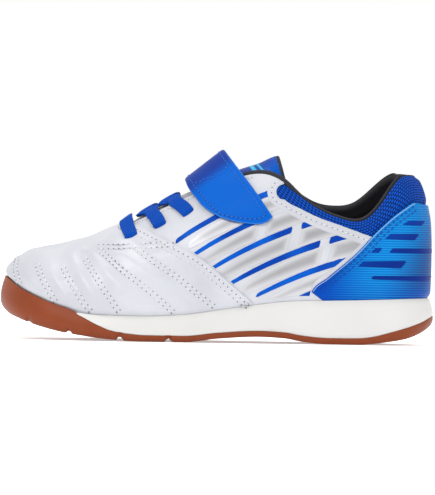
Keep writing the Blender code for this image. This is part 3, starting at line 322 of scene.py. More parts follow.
def last_surface(u, v):
    """Points of the upper's outer face: u around the ring, v from 0 at the sole's rim to 1 at the top."""
    u, v = np.broadcast_arrays(np.asarray(u, float), np.asarray(v, float))
    shape, u, w = u.shape, u.ravel(), v.reshape(-1, 1)
    base = np.column_stack([outline(u, upper_inset(u)), RIM_TOP(EDGE(u)[:, 0])])
    top = top_edge(u)
    lean, rise, crown, reach = SHAPE(u)[:, :4].T
    crown = np.where(is_closed(u), 0, np.maximum(crown, 0))
    size = np.linalg.norm(top - base, axis=1)
    up = np.column_stack([outward(u) * np.sin(lean)[:, None], np.cos(lean)])
    level = unit(base[:, :2] - top[:, :2])
    down = unit(np.column_stack([level, level[:, 0] * ridge_slope(u)]))
    down = down * np.cos(crown)[:, None] - np.sin(crown)[:, None] * [[0, 0, 1]]
    low = base + up * (rise * size)[:, None]
    high = top + down * (reach * size)[:, None]
    points = base * (1 - w) ** 3 + 3 * low * w * (1 - w) ** 2 + 3 * high * w**2 * (1 - w) + top * w**3
    return points.reshape(*shape, 3)


def skirt(u, depth):
    """Points of the upper below the rim: depth runs from 0 at the rim to 1 on the bed."""
    rim = last_surface(u, np.zeros(len(u)))
    foot = outline(u, upper_inset(u) + TUCK_UNDER * depth**2)
    return np.column_stack([foot, rim[:, 2] * (1 - depth) + (BED(foot[:, 0]) + FIT_GAP) * depth])


def surface_normal(u, v):
    du, dv = RING_LENGTH * 1e-4, 1e-3
    v = np.clip(v, dv, 1 - dv)
    across = last_surface(u, v + dv) - last_surface(u, v - dv)
    along = last_surface(u + du, v) - last_surface(u - du, v)
    return unit(np.cross(along, across))


def raised(u, v, height):
    """Points of the upper's outer face moved out along its normals, and those normals."""
    normals = surface_normal(u, v)
    return last_surface(u, v) + normals * height, normals


# How far the sole's side stands in from its outline: shares of SOLE_FLARE at shares of its height.
SIDE_SHAPES = ((0.0, 1.30), (0.1, 0.55), (0.3, 0.05), (0.5, 0.05), (0.75, 0.40), (1.0, 1.0))
SIDE_INSET = gentle(*(np.array(SIDE_SHAPES) * (1, SOLE_FLARE)).T)
TOE_ZONE_END = -0.072
BUMPER_TOP = 0.0009
LEDGE = 0.0012
MOST_GUM = 0.97
TOE_INSET = 0.0010


def upper_inset(u):
    """How far the upper's outer face stands in from the sole's outline, with a little more at the toe."""
    toe = 1 - smoothstep(-0.0750, -0.0600, EDGE(u)[:, 0])
    return SOLE_FLARE + RIM_THICKNESS + FIT_GAP + TOE_INSET * toe


def sole_frame(u):
    """For each station: ground and rim heights, the gum's share of the side, and where the gum covers it."""
    ground = GROUND(outline(u, SIDE_INSET(0.0))[:, 0])
    edge_x = EDGE(u)[:, 0]
    rim = RIM_TOP(edge_x)
    gum = np.minimum((GUM_TOP(edge_x) - ground) / (rim - ground), MOST_GUM)
    return ground, rim, gum, edge_x < TOE_ZONE_END


def side_ring(u, share):
    """Points of the sole's side at a share of its height."""
    ground, rim, _, _ = sole_frame(u)
    return np.column_stack([outline(u, SIDE_INSET(share)), ground + share * (rim - ground)])


def wrap_inset(u):
    """How far the gum's inner face stands in from the outline."""
    _, _, gum, covered = sole_frame(u)
    return np.where(covered, SOLE_FLARE + BUMPER_TOP, SIDE_INSET(gum) + LEDGE)


# Where the laces go through, in the side view, in the columns of VAMP_SEAM.
SLOTS = ((-20.0, 60.7), (-13.4, 67.9), (-7.1, 75.3))

# The tongue where it shows between the edges of the throat. Columns: the section's number, ridge_x and
# ridge_z in per cent of SOLE_LENGTH and COLLAR_HEIGHT, and tuck, how far its wings go under the eyestay.
TONGUE_ROWS = (
    (6.9, -21.7, 63.2, 4),
    (7.3, -20.6, 67.2, 5),
    (8.0, -17.4, 73.4, 6),
    (8.5, -12.4, 80.2, 6),
    (9.0, -7.0, 87.4, 6),
    (9.5, -1.4, 93.2, 6),
    (10.0, 3.4, 98.4, 6),
    (10.5, 6.8, 101.6, 5),
    (11.0, 9.4, 103.8, 3),
)

# The free top of the tongue in per cent: ridge x and z, wing x and z, and width, half of it, of BALL_WIDTH.
TONGUE_TOP = ((11.6, 106.6, 14.4, 88.0, 17.0), (13.6, 108.6, 16.0, 87.0, 17.2))

# The tongue's end under the vamp: ridge level in per cent, how wide it is, and x in per cent.
TONGUE_TOE = ((46.0, 0.62, -27.0), (56.5, 0.84, -23.6))
TONGUE_SHARES = (-1.0, -0.78, -0.5, -0.25, 0.0, 0.25, 0.5, 0.78, 1.0)


def ring_knot(number, side):
    """The place on the ring of a fractional section number, on the outer or the inner side."""
    return np.interp(number if side < 0 else len(RING) - number, np.arange(len(RING_ENDS)), RING_ENDS)


def ring_places(first, last, count, side):
    return np.array([ring_knot(n, side) for n in np.linspace(first, last, count)])


def arch(start, end, apex, bend, shares):
    """An elliptical arch between two points over an apex. bend is its half angle in degrees."""
    bend = math.radians(bend)
    middle = (start + end) / 2
    w = np.reshape(shares, (-1, 1)) * bend
    rise = (apex - middle) * (np.cos(w) - math.cos(bend)) / (1 - math.cos(bend))
    return middle + (end - start) / 2 * np.sin(w) / math.sin(bend) + rise


def under_upper(u, v, depth):
    return raised(np.array([u]), np.array([v]), -depth)[0][0]


def collar_pad(u):
    return np.clip(SHAPE(u)[:, 4], 0, 1)


def ridge_apex(x, z):
    return metres((x, 0, z), SOLE_LENGTH, BALL_WIDTH, COLLAR_HEIGHT)


def tongue_grid():
    """Points of the tongue's outer face: rows along it, columns across."""
    grid = []
    depth = UPPER_WALL + 2.2 * FIT_GAP
    for level, narrow, x in TONGUE_TOE:
        u = [ring_knot(6.0 - (62 - level) * 0.11, side) for side in BOTH_SIDES]
        wings = [under_upper(one, 0.97 - 0.22 * narrow, depth + 0.0006) for one in u]
        necks = [under_upper(one, 0.97 - 0.10 * narrow, depth + 0.0004) for one in u]
        s = np.interp(length_share(x), RIDGE(RING_KNOTS[:7])[:, 0], RING_KNOTS[:7])
        slope = ridge_slope(np.array([s]))[0]
        apex = RIDGE(s)[0] - unit(np.array([-slope, 0, 1])) * (depth + 0.0004)
        grid.append([wings[0], *arch(*necks, apex, 40, TONGUE_SHARES), wings[1]])
    for number, x, z, tuck in TONGUE_ROWS:
        u = [ring_knot(number, side) for side in BOTH_SIDES]
        pads = [collar_pad(one)[0] * COLLAR_PAD for one in u]
        necks = [under_upper(one, 0.985, depth + pad + 0.0003) for one, pad in zip(u, pads)]
        wings = [under_upper(one, 0.985 - 0.018 * tuck, depth + pad + 0.0004) for one, pad in zip(u, pads)]
        grid.append([wings[0], *arch(*necks, ridge_apex(x, z), 72, TONGUE_SHARES), wings[1]])
    low = np.array([0.0012, 0, -0.0045])
    for x, z, wing_x, wing_z, width in TONGUE_TOP:
        ends = [
            metres((wing_x, side * width, wing_z), SOLE_LENGTH, BALL_WIDTH, COLLAR_HEIGHT)
            for side in BOTH_SIDES
        ]
        grid.append([ends[0] + low, *arch(*ends, ridge_apex(x, z), 80, TONGUE_SHARES), ends[1] + low])
    return np.array(grid)


def tongue_ridge(x):
    """The height of the tongue's ridge at x."""
    return np.interp(x, *side_metres([row[1:3] for row in TONGUE_ROWS]).T)


def curve_through(points, count):
    """Points spaced along a smooth curve through the given ones."""
    points = np.asarray(points, float)
    knots = walked(points)
    curve = spline(knots, points)
    fine = np.linspace(0, knots[-1], 400)
    length = walked(curve(fine))
    return curve(np.interp(np.linspace(0, length[-1], count), length, fine))


# Where the strands of each crossing come up beside the tongue, cross its ridge and pass over the edge of
# the throat, as per cent of SOLE_LENGTH from mid-length.
CROSSINGS = ((-19.3, -15.8, -14.9), (-14.5, -11.0, -9.6))

# The lace bar beside the throat, in the side view, in the columns of VAMP_SEAM, and its lift at each point.
BAR_SIDE = ((-20.0, 60.7), (-20.5, 64.8), (-20.8, 67.6))
BAR_LIFT = ((0.0003,), (0.0009,), (0.0015,))
LACE_LIFT = 2 * FIT_GAP + OVERLAY_THICKNESS + LACE_THICKNESS / 2 + 0.0002
LACE_ARCH = 62
LACE_DIVE = 0.0022
THROAT_LEVEL = 0.999


def throat_place(share, side):
    """The place on the ring where the edge of the throat is at a share of the length."""
    places = ring_places(6.0, 10.0, 200, side)
    return np.interp(length_share(share), OPEN_EDGE(places)[:, 0], places)


def slot_points(number, edge, side):
    """Points and normals of the lace from a slot to the edge of the throat."""
    u, v = on_upper(side_metres([SLOTS[number]]), side)
    share = np.array([0.0, 0.5, 1.0])
    return raised(u + (throat_place(edge, side) - u) * share, v + (THROAT_LEVEL - v) * share, LACE_LIFT)


def ridge_normal(x):
    rise = (tongue_ridge(x + 0.005) - tongue_ridge(x - 0.005)) / 0.010
    return unit(np.array([-rise, 0.0, 1.0]))


def between_normals(start, end, apex, shares):
    """Normals that turn evenly from start over apex to end."""
    rows = [start * max(-s, 0) + end * max(s, 0) + apex * (1 - abs(s)) for s in shares]
    return unit(np.array(rows))


def lace_bar_path():
    (outer, outer_normals), (inner, inner_normals) = (
        raised(*on_upper(side_metres(BAR_SIDE), side), np.array(BAR_LIFT) + LACE_LIFT)
        for side in BOTH_SIDES
    )
    shares = (-0.55, 0.0, 0.55)
    line = arch(outer[2], inner[2], ridge_apex(-21.2, 71.8), LACE_ARCH, shares)
    apex_normal = unit(np.array([-0.78, 0, 1.0]))
    turned = between_normals(outer_normals[2], inner_normals[2], apex_normal, shares)
    return np.vstack([outer, line, inner[::-1]]), np.vstack([outer_normals, turned, inner_normals[::-1]])


def lace_strand_path(low, high, side, stack):
    """A strand that comes up beside the tongue and goes over its ridge to a slot on the other side."""
    start, ridge, edge = CROSSINGS[low]
    below = last_surface(throat_place(start, -side), THROAT_LEVEL).reshape(3)
    above, above_normals = slot_points(high, edge, side)
    x = length_share(ridge)
    apex_normal = ridge_normal(x)
    lift = FIT_GAP + LACE_THICKNESS / 2 + 0.0003 + stack
    apex = np.array([x, 0, tongue_ridge(x)]) + apex_normal * lift
    shares = (-0.55, -0.28, 0.0, 0.5)
    line = arch(below, above[2], apex, LACE_ARCH, shares)
    beside_tongue = unit(np.array([-0.3, -side * 0.5, 1.0]))
    turned = between_normals(beside_tongue, above_normals[2], apex_normal, shares)
    return np.vstack([line, above[::-1]]), np.vstack([turned, above_normals[::-1]])


# The strap in the side view, from its end on the inner side over the instep to the outer side. Columns in
# per cent: left x and z, right x and z, y of BALL_WIDTH where it stands free, and the side it lies on.
STRAP_ROWS = (
    (-2.2, 62.0, 9.4, 68.0, 0.0, 1),
    (-3.6, 73.0, 8.2, 81.4, 0.0, 1),
    (-5.2, 84.0, 6.1, 95.2, 0.0, 1),
    (-6.4, 88.4, 3.6, 103.8, 16.0, 0),
    (-7.4, 92.9, 1.8, 109.8, 8.6, 0),
    (-7.7, 94.6, 1.0, 112.4, 0.0, 0),
    (-7.4, 92.9, 1.8, 109.8, -8.6, 0),
    (-6.4, 88.4, 3.6, 103.8, -16.0, 0),
    (-5.2, 84.0, 6.1, 95.2, 0.0, -1),
    (-3.2, 78.0, 9.2, 84.6, 0.0, -1),
)
STRAP_END = ((0.4, 72.3), (3.2, 70.4), (6.8, 69.2), (10.3, 69.6), (12.3, 73.2))
STRAP_LIFT = 2 * FIT_GAP + OVERLAY_THICKNESS + STRAP_THICKNESS / 2 + 0.0003
STRAP_COLUMNS = len(STRAP_END)
STRAP_PITCH = 0.0023
STRAP_STITCH = 0.0014


def on_strap(line, side):
    return raised(*on_upper(line, side), STRAP_LIFT)[0]


def strap_row(left_x, left_z, right_x, right_z, y, side):
    w = np.linspace(0, 1, STRAP_COLUMNS)[:, None]
    line = side_metres(np.array((left_x, left_z)) * (1 - w) + np.array((right_x, right_z)) * w)
    if side:
        return on_strap(line, side)
    return np.insert(line, 1, y * PER_CENT * BALL_WIDTH, axis=1)


def strap_grid():
    rows = np.array([strap_row(*row) for row in STRAP_ROWS] + [on_strap(side_metres(STRAP_END), -1)])
    return np.stack([curve_through(rows[:, k], 19) for k in range(STRAP_COLUMNS)], axis=1)


def quads(index, wrap=False):
    """Four corners for every place between neighbouring rows and columns of a grid."""
    if wrap:
        index = np.vstack([index, index[:1]])
    corners = index[:-1, :-1], index[1:, :-1], index[1:, 1:], index[:-1, 1:]
    return np.stack(corners, axis=-1).reshape(-1, 4)


def numbered(rows, columns, closed=False):
    """The numbers of a grid's points, with the first column repeated at the end where rows are closed."""
    index = np.arange(rows * columns).reshape(rows, columns)
    return np.column_stack([index, index[:, :1]]) if closed else index


def capped_tube(rows, around):
    """Faces of a tube of so many rings with its two ends closed."""
    index = numbered(rows, around)
    faces = quads(numbered(rows, around, True)).tolist()
    return faces + [index[0].tolist()[::-1], index[-1].tolist()]


def clean_face(face):
    """A face with repeated corners dropped, or nothing where fewer than three are left."""
    ring = [c for n, c in enumerate(face) if c != face[n - 1]]
    return ring if len(ring) > 2 else None


def clean(faces):
    return [ring for ring in map(clean_face, np.asarray(faces).tolist()) if ring]


def compacted(rows, faces):
    """The rows that the faces use, and the faces with their new numbers."""
    used = np.unique(np.concatenate([np.array(f) for f in faces]))
    place = np.full(len(rows), -1)
    place[used] = np.arange(len(used))
    return rows[used], [place[f].tolist() for f in faces]


def corners_of(points, faces):
    fans = np.array([(f[0], f[n], f[n + 1]) for f in faces for n in range(1, len(f) - 1)])
    return fans, np.moveaxis(points[fans], 1, 0)


def facing_out(points, faces):
    _, (a, b, c) = corners_of(points, faces)
    return faces if np.sum(a * np.cross(b, c)) > 0 else [f[::-1] for f in faces]


def point_normals(points, faces):
    fans, (a, b, c) = corners_of(points, faces)
    normals = np.zeros_like(points)
    for k in range(3):
        np.add.at(normals, fans[:, k], np.cross(b - a, c - a))
    return unit(normals)


def sheet_of(grid):
    """Points, faces and normals of a grid of points."""
    points, faces = grid.reshape(-1, 3), quads(numbered(*grid.shape[:2])).tolist()
    return points, faces, point_normals(points, faces)


def trimmed(rows, faces, values, snap=0.00008):
    """The part of a sheet where values, one for each row, aren't negative. Rows carry all that belongs
    to a point, and new rows are mixed from their neighbours."""
    level = np.where(np.abs(values) < snap, 0.0, values).tolist()
    made, cut, kept = [], {}, []
    for face in faces:
        ends = [level[c] for c in face]
        if min(ends) >= 0 or max(ends) <= 0:
            if max(ends) > 0:
                kept.append(face)
            continue
        ring = []
        for n, b in enumerate(face):
            key = (min(face[n - 1], b), max(face[n - 1], b))
            first, second = level[key[0]], level[key[1]]
            if first * second < 0:
                if key not in cut:
                    cut[key] = len(rows) + len(made)
                    made.append((*key, first / (first - second)))
                ring.append(cut[key])
            if level[b] >= 0:
                ring.append(b)
        if len(ring) > 2:
            kept.append(ring)
    if made:
        first, second, share = np.array(made).T
        share = share[:, None]
        rows = np.vstack([rows, rows[first.astype(int)] * (1 - share) + rows[second.astype(int)] * share])
    return compacted(rows, kept)


def border_edges(faces):
    edges = {(f[n - 1], f[n]) for f in faces for n in range(len(f))}
    return sorted(e for e in edges if (e[1], e[0]) not in edges)


def shell(points, faces, normals, low, high, roll=0.0):
    """A closed shell from an open sheet: its face at the height high, its back at low along the normals.

    roll rounds the edges by that much beyond the sheet's border."""
    count = len(points)
    face_side = points + normals * np.broadcast_to(high, count)[:, None]
    back_side = points + normals * np.broadcast_to(low, count)[:, None]
    border = np.array(border_edges(faces))
    a, b = border.T
    away = np.zeros_like(points)
    side = unit(np.cross(points[b] - points[a], normals[a] + normals[b]))
    np.add.at(away, a, side)
    np.add.at(away, b, side)
    ids = np.unique(border)
    middle = (face_side * 0.45 + back_side * 0.55 + unit(away) * roll)[ids]
    place = np.zeros(count, int)
    place[ids] = 2 * count + np.arange(len(ids))
    faces_all = list(faces)
    faces_all += [[c + count for c in reversed(f)] for f in faces]
    faces_all += np.column_stack([b, a, place[a], place[b]]).tolist()
    faces_all += np.column_stack([place[b], place[a], a + count, b + count]).tolist()
    return np.vstack([face_side, back_side, middle]), faces_all


def linked(name, data):
    obj = bpy.data.objects.new(name, data)
    bpy.context.scene.collection.objects.link(obj)
    return obj


def add_piece(name, shape, material, replaces=(), data=None, sharp=50):
    """A piece of the visible model, which rides on the body and takes the material or materials it is given.

    shape is its points and faces. data holds named vectors for each point, which materials read."""
    points, faces = shape
    mesh = bpy.data.meshes.new(name)
    mesh.from_pydata((points + (0, CENTRE_SHIFT, 0)).tolist(), [], faces)
    for key, values in (data or {}).items():
        full = np.zeros((len(points), 3))
        full[: len(values), : values.shape[1]] = values
        mesh.attributes.new(key, "FLOAT_VECTOR", "POINT").data.foreach_set("vector", full.ravel())
    mesh.validate()
    mesh.shade_smooth()
    mesh.set_sharp_from_angle(angle=math.radians(sharp))
    for one in material if isinstance(material, tuple) else (material,):
        mesh.materials.append(one)
    obj = linked(name, mesh)
    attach(obj, "root")
    if replaces:
        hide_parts(*replaces)
    return obj


class Paint:
    """Builds one material's nodes on its Principled shader."""

    def __init__(self, name, roughness, specular=0.5, **values):
        self.material = bpy.data.materials.new(name)
        self.material.use_nodes = True
        self.tree = self.material.node_tree
        self.shader = self.tree.nodes["Principled BSDF"]
        self.set("Roughness", roughness)
        self.set("Specular IOR Level", specular)
        for key, value in values.items():
            self.set(key.replace("_", " "), value)
        self.relief = None

    def set(self, key, value):
        self.feed(self.shader.inputs[key], value)

    def feed(self, socket, value):
        if isinstance(value, bpy.types.NodeSocket):
            self.tree.links.new(value, socket)
        elif value is not None:
            if socket.type == "RGBA" and len(value) == 3:
                value = (*value, 1.0)
            socket.default_value = value

    def node(self, kind, inputs=None, output=0, **settings):
        node = self.tree.nodes.new("ShaderNode" + kind)
        for key, value in settings.items():
            setattr(node, key, value)
        for key, value in (inputs or {}).items():
            self.feed(node.inputs[key], value)
        return node.outputs[output]

    def math(self, operation, a, b=0.0, c=0.0):
        return self.node("Math", {0: a, 1: b, 2: c}, operation=operation)

    def times(self, a, b):
        return self.math("MULTIPLY", a, b)

    def line(self, value, slope, start):
        """slope times value, plus start."""
        return self.math("MULTIPLY_ADD", value, slope, start)

    def mix(self, share, a, b):
        return self.node("Mix", {"Factor": share, 6: a, 7: b}, 2, data_type="RGBA")

    def place(self):
        return self.node("TexCoord", output="Object")

    def named(self, name):
        return self.parts(self.node("Attribute", output="Vector", attribute_name=name))

    def parts(self, vector):
        node = self.tree.nodes.new("ShaderNodeSeparateXYZ")
        self.feed(node.inputs[0], vector)
        return node.outputs

    def noise(self, scale, detail=2.0, rough=0.5):
        inputs = {"Vector": self.place(), "Scale": scale, "Detail": detail, "Roughness": rough}
        return self.node("TexNoise", inputs, "Fac")

    def steps(self, value, low, high):
        """0 below low, 1 above high and smooth between."""
        inputs = {"Value": value, "From Min": low, "From Max": high}
        return self.node("MapRange", inputs, interpolation_type="SMOOTHSTEP")

    def wave(self, value, pitch):
        """A cosine wave from 0 to 1 with the pitch in metres."""
        return self.line(self.math("COSINE", self.times(value, 2 * math.pi / pitch)), 0.5, 0.5)

    def middle_distance(self, value):
        """The distance from the middle of each whole step of value."""
        return self.math("ABSOLUTE", self.math("SUBTRACT", self.math("FRACT", value), 0.5))

    def bump(self, height, distance, strength=1.0):
        inputs = {"Height": height, "Distance": distance, "Strength": strength, "Normal": self.relief}
        self.relief = self.node("Bump", inputs, "Normal")
        self.set("Normal", self.relief)

    def finish(self, colour, *bumps, rough=None):
        """The material with its colour, its bumps and, from a texture, its roughness."""
        self.set("Base Color", colour)
        for height, distance, strength in bumps:
            self.bump(height, distance, strength)
        if rough:
            self.set("Roughness", self.line(*rough))
        return self.material


def leather_paint(name, colour, dark):
    """Pearl synthetic leather: fine grain, faint creases and a slow change of tone."""
    paint = Paint(name, 0.36, 0.40, Coat_Weight=0.12, Coat_Roughness=0.30)
    cells = {"Vector": paint.place(), "Scale": 900.0, "Randomness": 1.0}
    grain = paint.node("TexVoronoi", cells, "Distance", feature="F1")
    crease = paint.noise(260.0, 4.0, 0.62)
    tone = paint.mix(paint.steps(paint.noise(38.0, 3.0), 0.30, 0.70), dark, colour)
    tone = paint.mix(paint.steps(grain, 0.05, 0.30), [c * 0.93 for c in colour], tone)
    return paint.finish(tone, (crease, 0.00022, 0.55), (grain, 0.00010, 0.45), rough=(crease, 0.16, 0.29))


def mesh_paint():
    """Sports mesh: rounded cells in offset rows with dark gaps, on the distances along the collar."""
    paint = Paint("collar mesh", 0.7, 0.08)
    along, down, _ = paint.named("flow")
    row = paint.math("DIVIDE", down, 0.00125)
    odd = paint.math("MODULO", paint.math("FLOOR", row), 2.0)
    column = paint.line(odd, 0.5, paint.math("DIVIDE", along, 0.0016))
    cubes = [paint.math("POWER", paint.middle_distance(value), 3.0) for value in (column, row)]
    cell = paint.steps(paint.math("ADD", *cubes), 0.100, 0.040)
    threads = paint.wave(paint.math("ADD", along, down), 0.00042)
    lit = paint.mix(threads, (0.0005, 0.050, 0.36), (0.001, 0.090, 0.52))
    lit = paint.mix(paint.times(paint.noise(60.0), 0.35), lit, (0.0005, 0.030, 0.26))
    colour = paint.mix(cell, (0.0003, 0.006, 0.055), lit)
    return paint.finish(colour, (cell, 0.00045, 0.9), (threads, 0.00008, 0.6))


def lining_paint():
    paint = Paint("black lining", 0.85, 0.2)
    along, down, _ = paint.named("flow")
    knit = paint.times(paint.wave(along, 0.0009), paint.wave(down, 0.0007))
    return paint.finish(paint.mix(knit, (0.006, 0.006, 0.008), (0.022, 0.022, 0.026)), (knit, 0.00012, 0.7))


def fibre_paint(name, colour, light, roughness, specular, scale, bump):
    """Fine fibres of two tones, for bindings and threads."""
    paint = Paint(name, roughness, specular)
    fibre = paint.noise(scale)
    return paint.finish(paint.mix(fibre, colour, light), (fibre, *bump))


def binding_paint(name, colour, light):
    return fibre_paint(name, colour, light, 0.75, 0.2, 1500.0, (0.00012, 0.7))


def thread_paint(name, colour, light):
    return fibre_paint(name, colour, light, 0.6, 0.25, 2600.0, (0.00006, 0.6))


def counter_paint():
    """Coated blue with a bright middle and fine cyan lines across the heel."""
    paint = Paint("blue coated", 0.34, 0.04)
    x, _, z = paint.parts(paint.place())
    lean = paint.line(paint.noise(22.0, 1.0), 0.010, paint.line(z, -0.35, x))
    back = paint.steps(lean, 0.074, 0.097)
    colour = paint.mix(paint.steps(lean, 0.046, 0.074), (0.0003, 0.046, 0.31), (0.001, 0.125, 0.43))
    colour = paint.mix(back, colour, (0.012, 0.036, 0.17))
    colour = paint.mix(paint.times(paint.steps(z, 0.036, 0.022), 0.7), colour, (0.001, 0.046, 0.32))
    line = paint.steps(paint.wave(z, 0.00115), 0.50, 0.85)
    fade = paint.times(paint.steps(x, 0.050, 0.080), paint.line(back, -0.35, 0.6))
    colour = paint.mix(paint.times(line, fade), colour, (0.015, 0.27, 0.50))
    fine = paint.noise(700.0, 3.0)
    return paint.finish(colour, (line, 0.00006, 0.5), (fine, 0.00010, 0.4), rough=(fine, 0.18, 0.26))


def satin_paint(name, top, low, start, end):
    """Smooth coated fabric: the top colour up to start on its slanted scale, the low one from end on."""
    paint = Paint(name, 0.38, 0.06)
    x, _, z = paint.parts(paint.place())
    slanted = paint.line(x, 0.62, paint.times(z, -0.79))
    fine = paint.noise(900.0, 3.0)
    colour = paint.mix(paint.steps(slanted, start, end), top, low)
    colour = paint.mix(paint.times(paint.noise(70.0), 0.3), colour, [c * 0.8 for c in low])
    return paint.finish(colour, (fine, 0.00012, 0.45), rough=(fine, 0.18, 0.30))


def foil_paint():
    # Silver foil: the light edges and dark middles of its bars, read from the shade attribute, are painted
    # reflection shading of the metal.
    paint = Paint("silver foil", 0.36, Metallic=0.5)
    grain = paint.noise(1100.0)
    colour = paint.mix(paint.named("shade")[0], (0.52, 0.52, 0.54), (0.27, 0.27, 0.28))
    colour = paint.mix(paint.times(paint.noise(90.0), 0.5), colour, (0.40, 0.40, 0.42))
    return paint.finish(colour, (grain, 0.00006, 0.5), rough=(grain, 0.22, 0.26))


def print_paint():
    paint = Paint("blue print", 0.4, 0.06)
    grain = paint.noise(900.0)
    lit = paint.mix(grain, (0.0001, 0.060, 0.36), (0.0003, 0.088, 0.45))
    slow = paint.steps(paint.noise(45.0, 1.0), 0.35, 0.65)
    return paint.finish(paint.mix(slow, (0.0003, 0.034, 0.27), lit), (grain, 0.00006, 0.5))


def lace_paint():
    """Flat woven lace: ribs along it and fine picks across."""
    paint = Paint("lace", 0.72, 0.08)
    along, across, _ = paint.named("flow")
    rib = paint.wave(across, 0.00088)
    weave = paint.line(paint.wave(paint.line(rib, 0.0003, along), 0.00068), 0.45, paint.times(rib, 0.55))
    return paint.finish(paint.mix(weave, (0.0003, 0.026, 0.20), (0.0006, 0.072, 0.42)), (weave, 0.00022, 0.8))


def gum_paint():
    """Gum rubber: matte brown with slow mottling and faint scuffs."""
    paint = Paint("gum rubber", 0.48, 0.18)
    fine = paint.noise(1200.0, 3.0)
    colour = paint.mix(paint.noise(55.0, 4.0), (0.155, 0.0275, 0.0060), (0.215, 0.0450, 0.0120))
    return paint.finish(colour, (fine, 0.00010, 0.5), rough=(fine, 0.25, 0.34))


def foam_paint():
    """Moulded white side wall: smooth satin with a faint grain."""
    paint = Paint("white foam", 0.42, Subsurface_Weight=0.08, Subsurface_Radius=(0.003, 0.003, 0.003))
    fine = paint.noise(1400.0, 3.0)
    colour = paint.mix(paint.noise(30.0), (0.48, 0.475, 0.46), (0.54, 0.535, 0.525))
    return paint.finish(colour, (fine, 0.00007, 0.5), rough=(fine, 0.20, 0.34))


def tongue_paint():
    """Silver grey tongue fabric with a fine twill."""
    paint = Paint("tongue fabric", 0.6)
    x, y, z = paint.parts(paint.place())
    twill = paint.wave(paint.math("ADD", paint.math("ADD", x, y), z), 0.00075)
    return paint.finish(paint.mix(twill, (0.22, 0.23, 0.25), (0.46, 0.47, 0.49)), (twill, 0.00012, 0.6))


EASE_REACH = 0.010
EASE_WEIGHT = 0.9
EASE_ROUNDS = 40


def eased(points, normals, u, v):
    """The sheet with the break at the throat's front corners drawn out softly."""
    corners = (RIDGE_END, RIDGE_START_AGAIN)
    beside_corner = sum(np.exp(-(((u - corner) / EASE_REACH) ** 2)) for corner in corners)
    weight = (beside_corner[:, None] * (1 - smoothstep(0.80, 0.97, v)))[:, :, None] * EASE_WEIGHT
    for _ in range(EASE_ROUNDS):
        points, normals = (
            sheet + ((np.roll(sheet, 1, 0) + np.roll(sheet, -1, 0)) / 2 - sheet) * weight
            for sheet in (points, normals)
        )
    return points, unit(normals)


# The section where the throat's white edge ends and the collar's dark one starts.
THROAT_END = 10.3

# What each row of the sheet carries after its point and normal.
RING_PLACE, DEPTH, CLIMB = 6, 7, 8


def base_sheet():
    """The upper's outer face: points with normals, ring place, and distances down and up the wall."""
    u = ring_stations(FINE_STEPS)
    v = np.concatenate([[-0.03, -0.015], np.linspace(0, 1, FINE_ROWS + 1)])
    points, normals = raised(u[:, None], np.maximum(v, 0)[None, :], 0)
    for k, depth in ((0, 0.30), (1, 0.15)):
        points[:, k] = skirt(u, depth)
    points, normals = eased(points, normals, u, v)
    climbed = walked(points)
    climbed -= climbed[:, 2:3]
    columns = (np.broadcast_to(u[:, None], climbed.shape), climbed[:, -1:] - climbed, climbed)
    rows = np.concatenate([points, normals, np.stack(columns, axis=2)], axis=2)
    index = numbered(len(u), len(v))
    for k in range(1, CLOSED_SECTIONS * FINE_STEPS + 1):
        index[len(u) - k, -1] = index[k, -1]
        rows[k, -1, 3:6] = unit(rows[k, -1, 3:6] + rows[len(u) - k, -1, 3:6])
    return rows, clean(quads(index, True))


SHEET_ROWS, SHEET_FACES = base_sheet()

# The round front end of the mesh collar in the side view.
TAB_X = 0.0322
TAB_Z = 0.0745
TAB_RADIUS = 0.0040

# The distances below are across from a panel's edge, positive on the side that is named.
SEAM_SLANT = 0.78
COUNTER_SLANT = 0.75


def beyond_seam(points):
    """Positive on the quarter's side of the seam between vamp and quarter."""
    return (points[:, 2] - SEAM(points[:, 0])) * SEAM_SLANT


def before_seam(points):
    return -beyond_seam(points)


def under_counter_edge(points):
    """Positive on the heel counter."""
    return (COUNTER(points[:, 0]) - points[:, 2]) * COUNTER_SLANT


def over_counter_edge(points):
    return -under_counter_edge(points)


def behind_counter_toe(points):
    """Positive behind the slanted lower front of the heel counter."""
    return (points[:, 0] - 0.0462 - (0.0262 - points[:, 2]) * 1.35) * 0.6


def off_counter(points):
    """Positive where the heel counter isn't."""
    return np.maximum(over_counter_edge(points), -behind_counter_toe(points))


def under_mesh(points):
    """Positive below the mesh collar and before its round front end."""
    x, z = points[:, 0], points[:, 2]
    return np.where(x < TAB_X, np.hypot(x - TAB_X, z - TAB_Z) - TAB_RADIUS, (QUARTER(x) - z) * 0.8)


def over_rim(rows):
    return rows[:, CLIMB] - 0.0025


def sheet_where(*fields):
    """The sheet over the upper where every field is positive. A field reads the carried rows."""
    rows, faces = SHEET_ROWS.reshape(-1, SHEET_ROWS.shape[-1]), SHEET_FACES
    for field in fields:
        rows, faces = trimmed(rows, faces, field(rows))
    return rows, faces


def largest_part(rows, faces):
    """The largest connected part of a sheet."""
    owner = np.arange(len(rows))
    pairs = np.array([(f[n - 1], f[n]) for f in faces for n in range(len(f))])
    before = None
    while before is None or (owner != before).any():
        before = owner.copy()
        low = owner[pairs].min(axis=1)
        np.minimum.at(owner, pairs[:, 0], low)
        np.minimum.at(owner, pairs[:, 1], low)
        owner = owner[owner]
    main = np.argmax(np.bincount(owner))
    return compacted(rows, [f for f in faces if owner[f[0]] == main])


def seen_table(side):
    """Ring places, levels, x and z of the upper's outer face on one side, as a coarse table."""
    half = RING_KNOTS[HALF]
    start, end = (0, half) if side < 0 else (half, RING_LENGTH)
    u, v = np.meshgrid(np.linspace(start, end, 180), np.linspace(0.01, 0.99, 60), indexing="ij")
    return u.ravel(), v.ravel(), last_surface(u, v)[..., [0, 2]].reshape(-1, 2)


SEEN = {side: seen_table(side) for side in BOTH_SIDES}


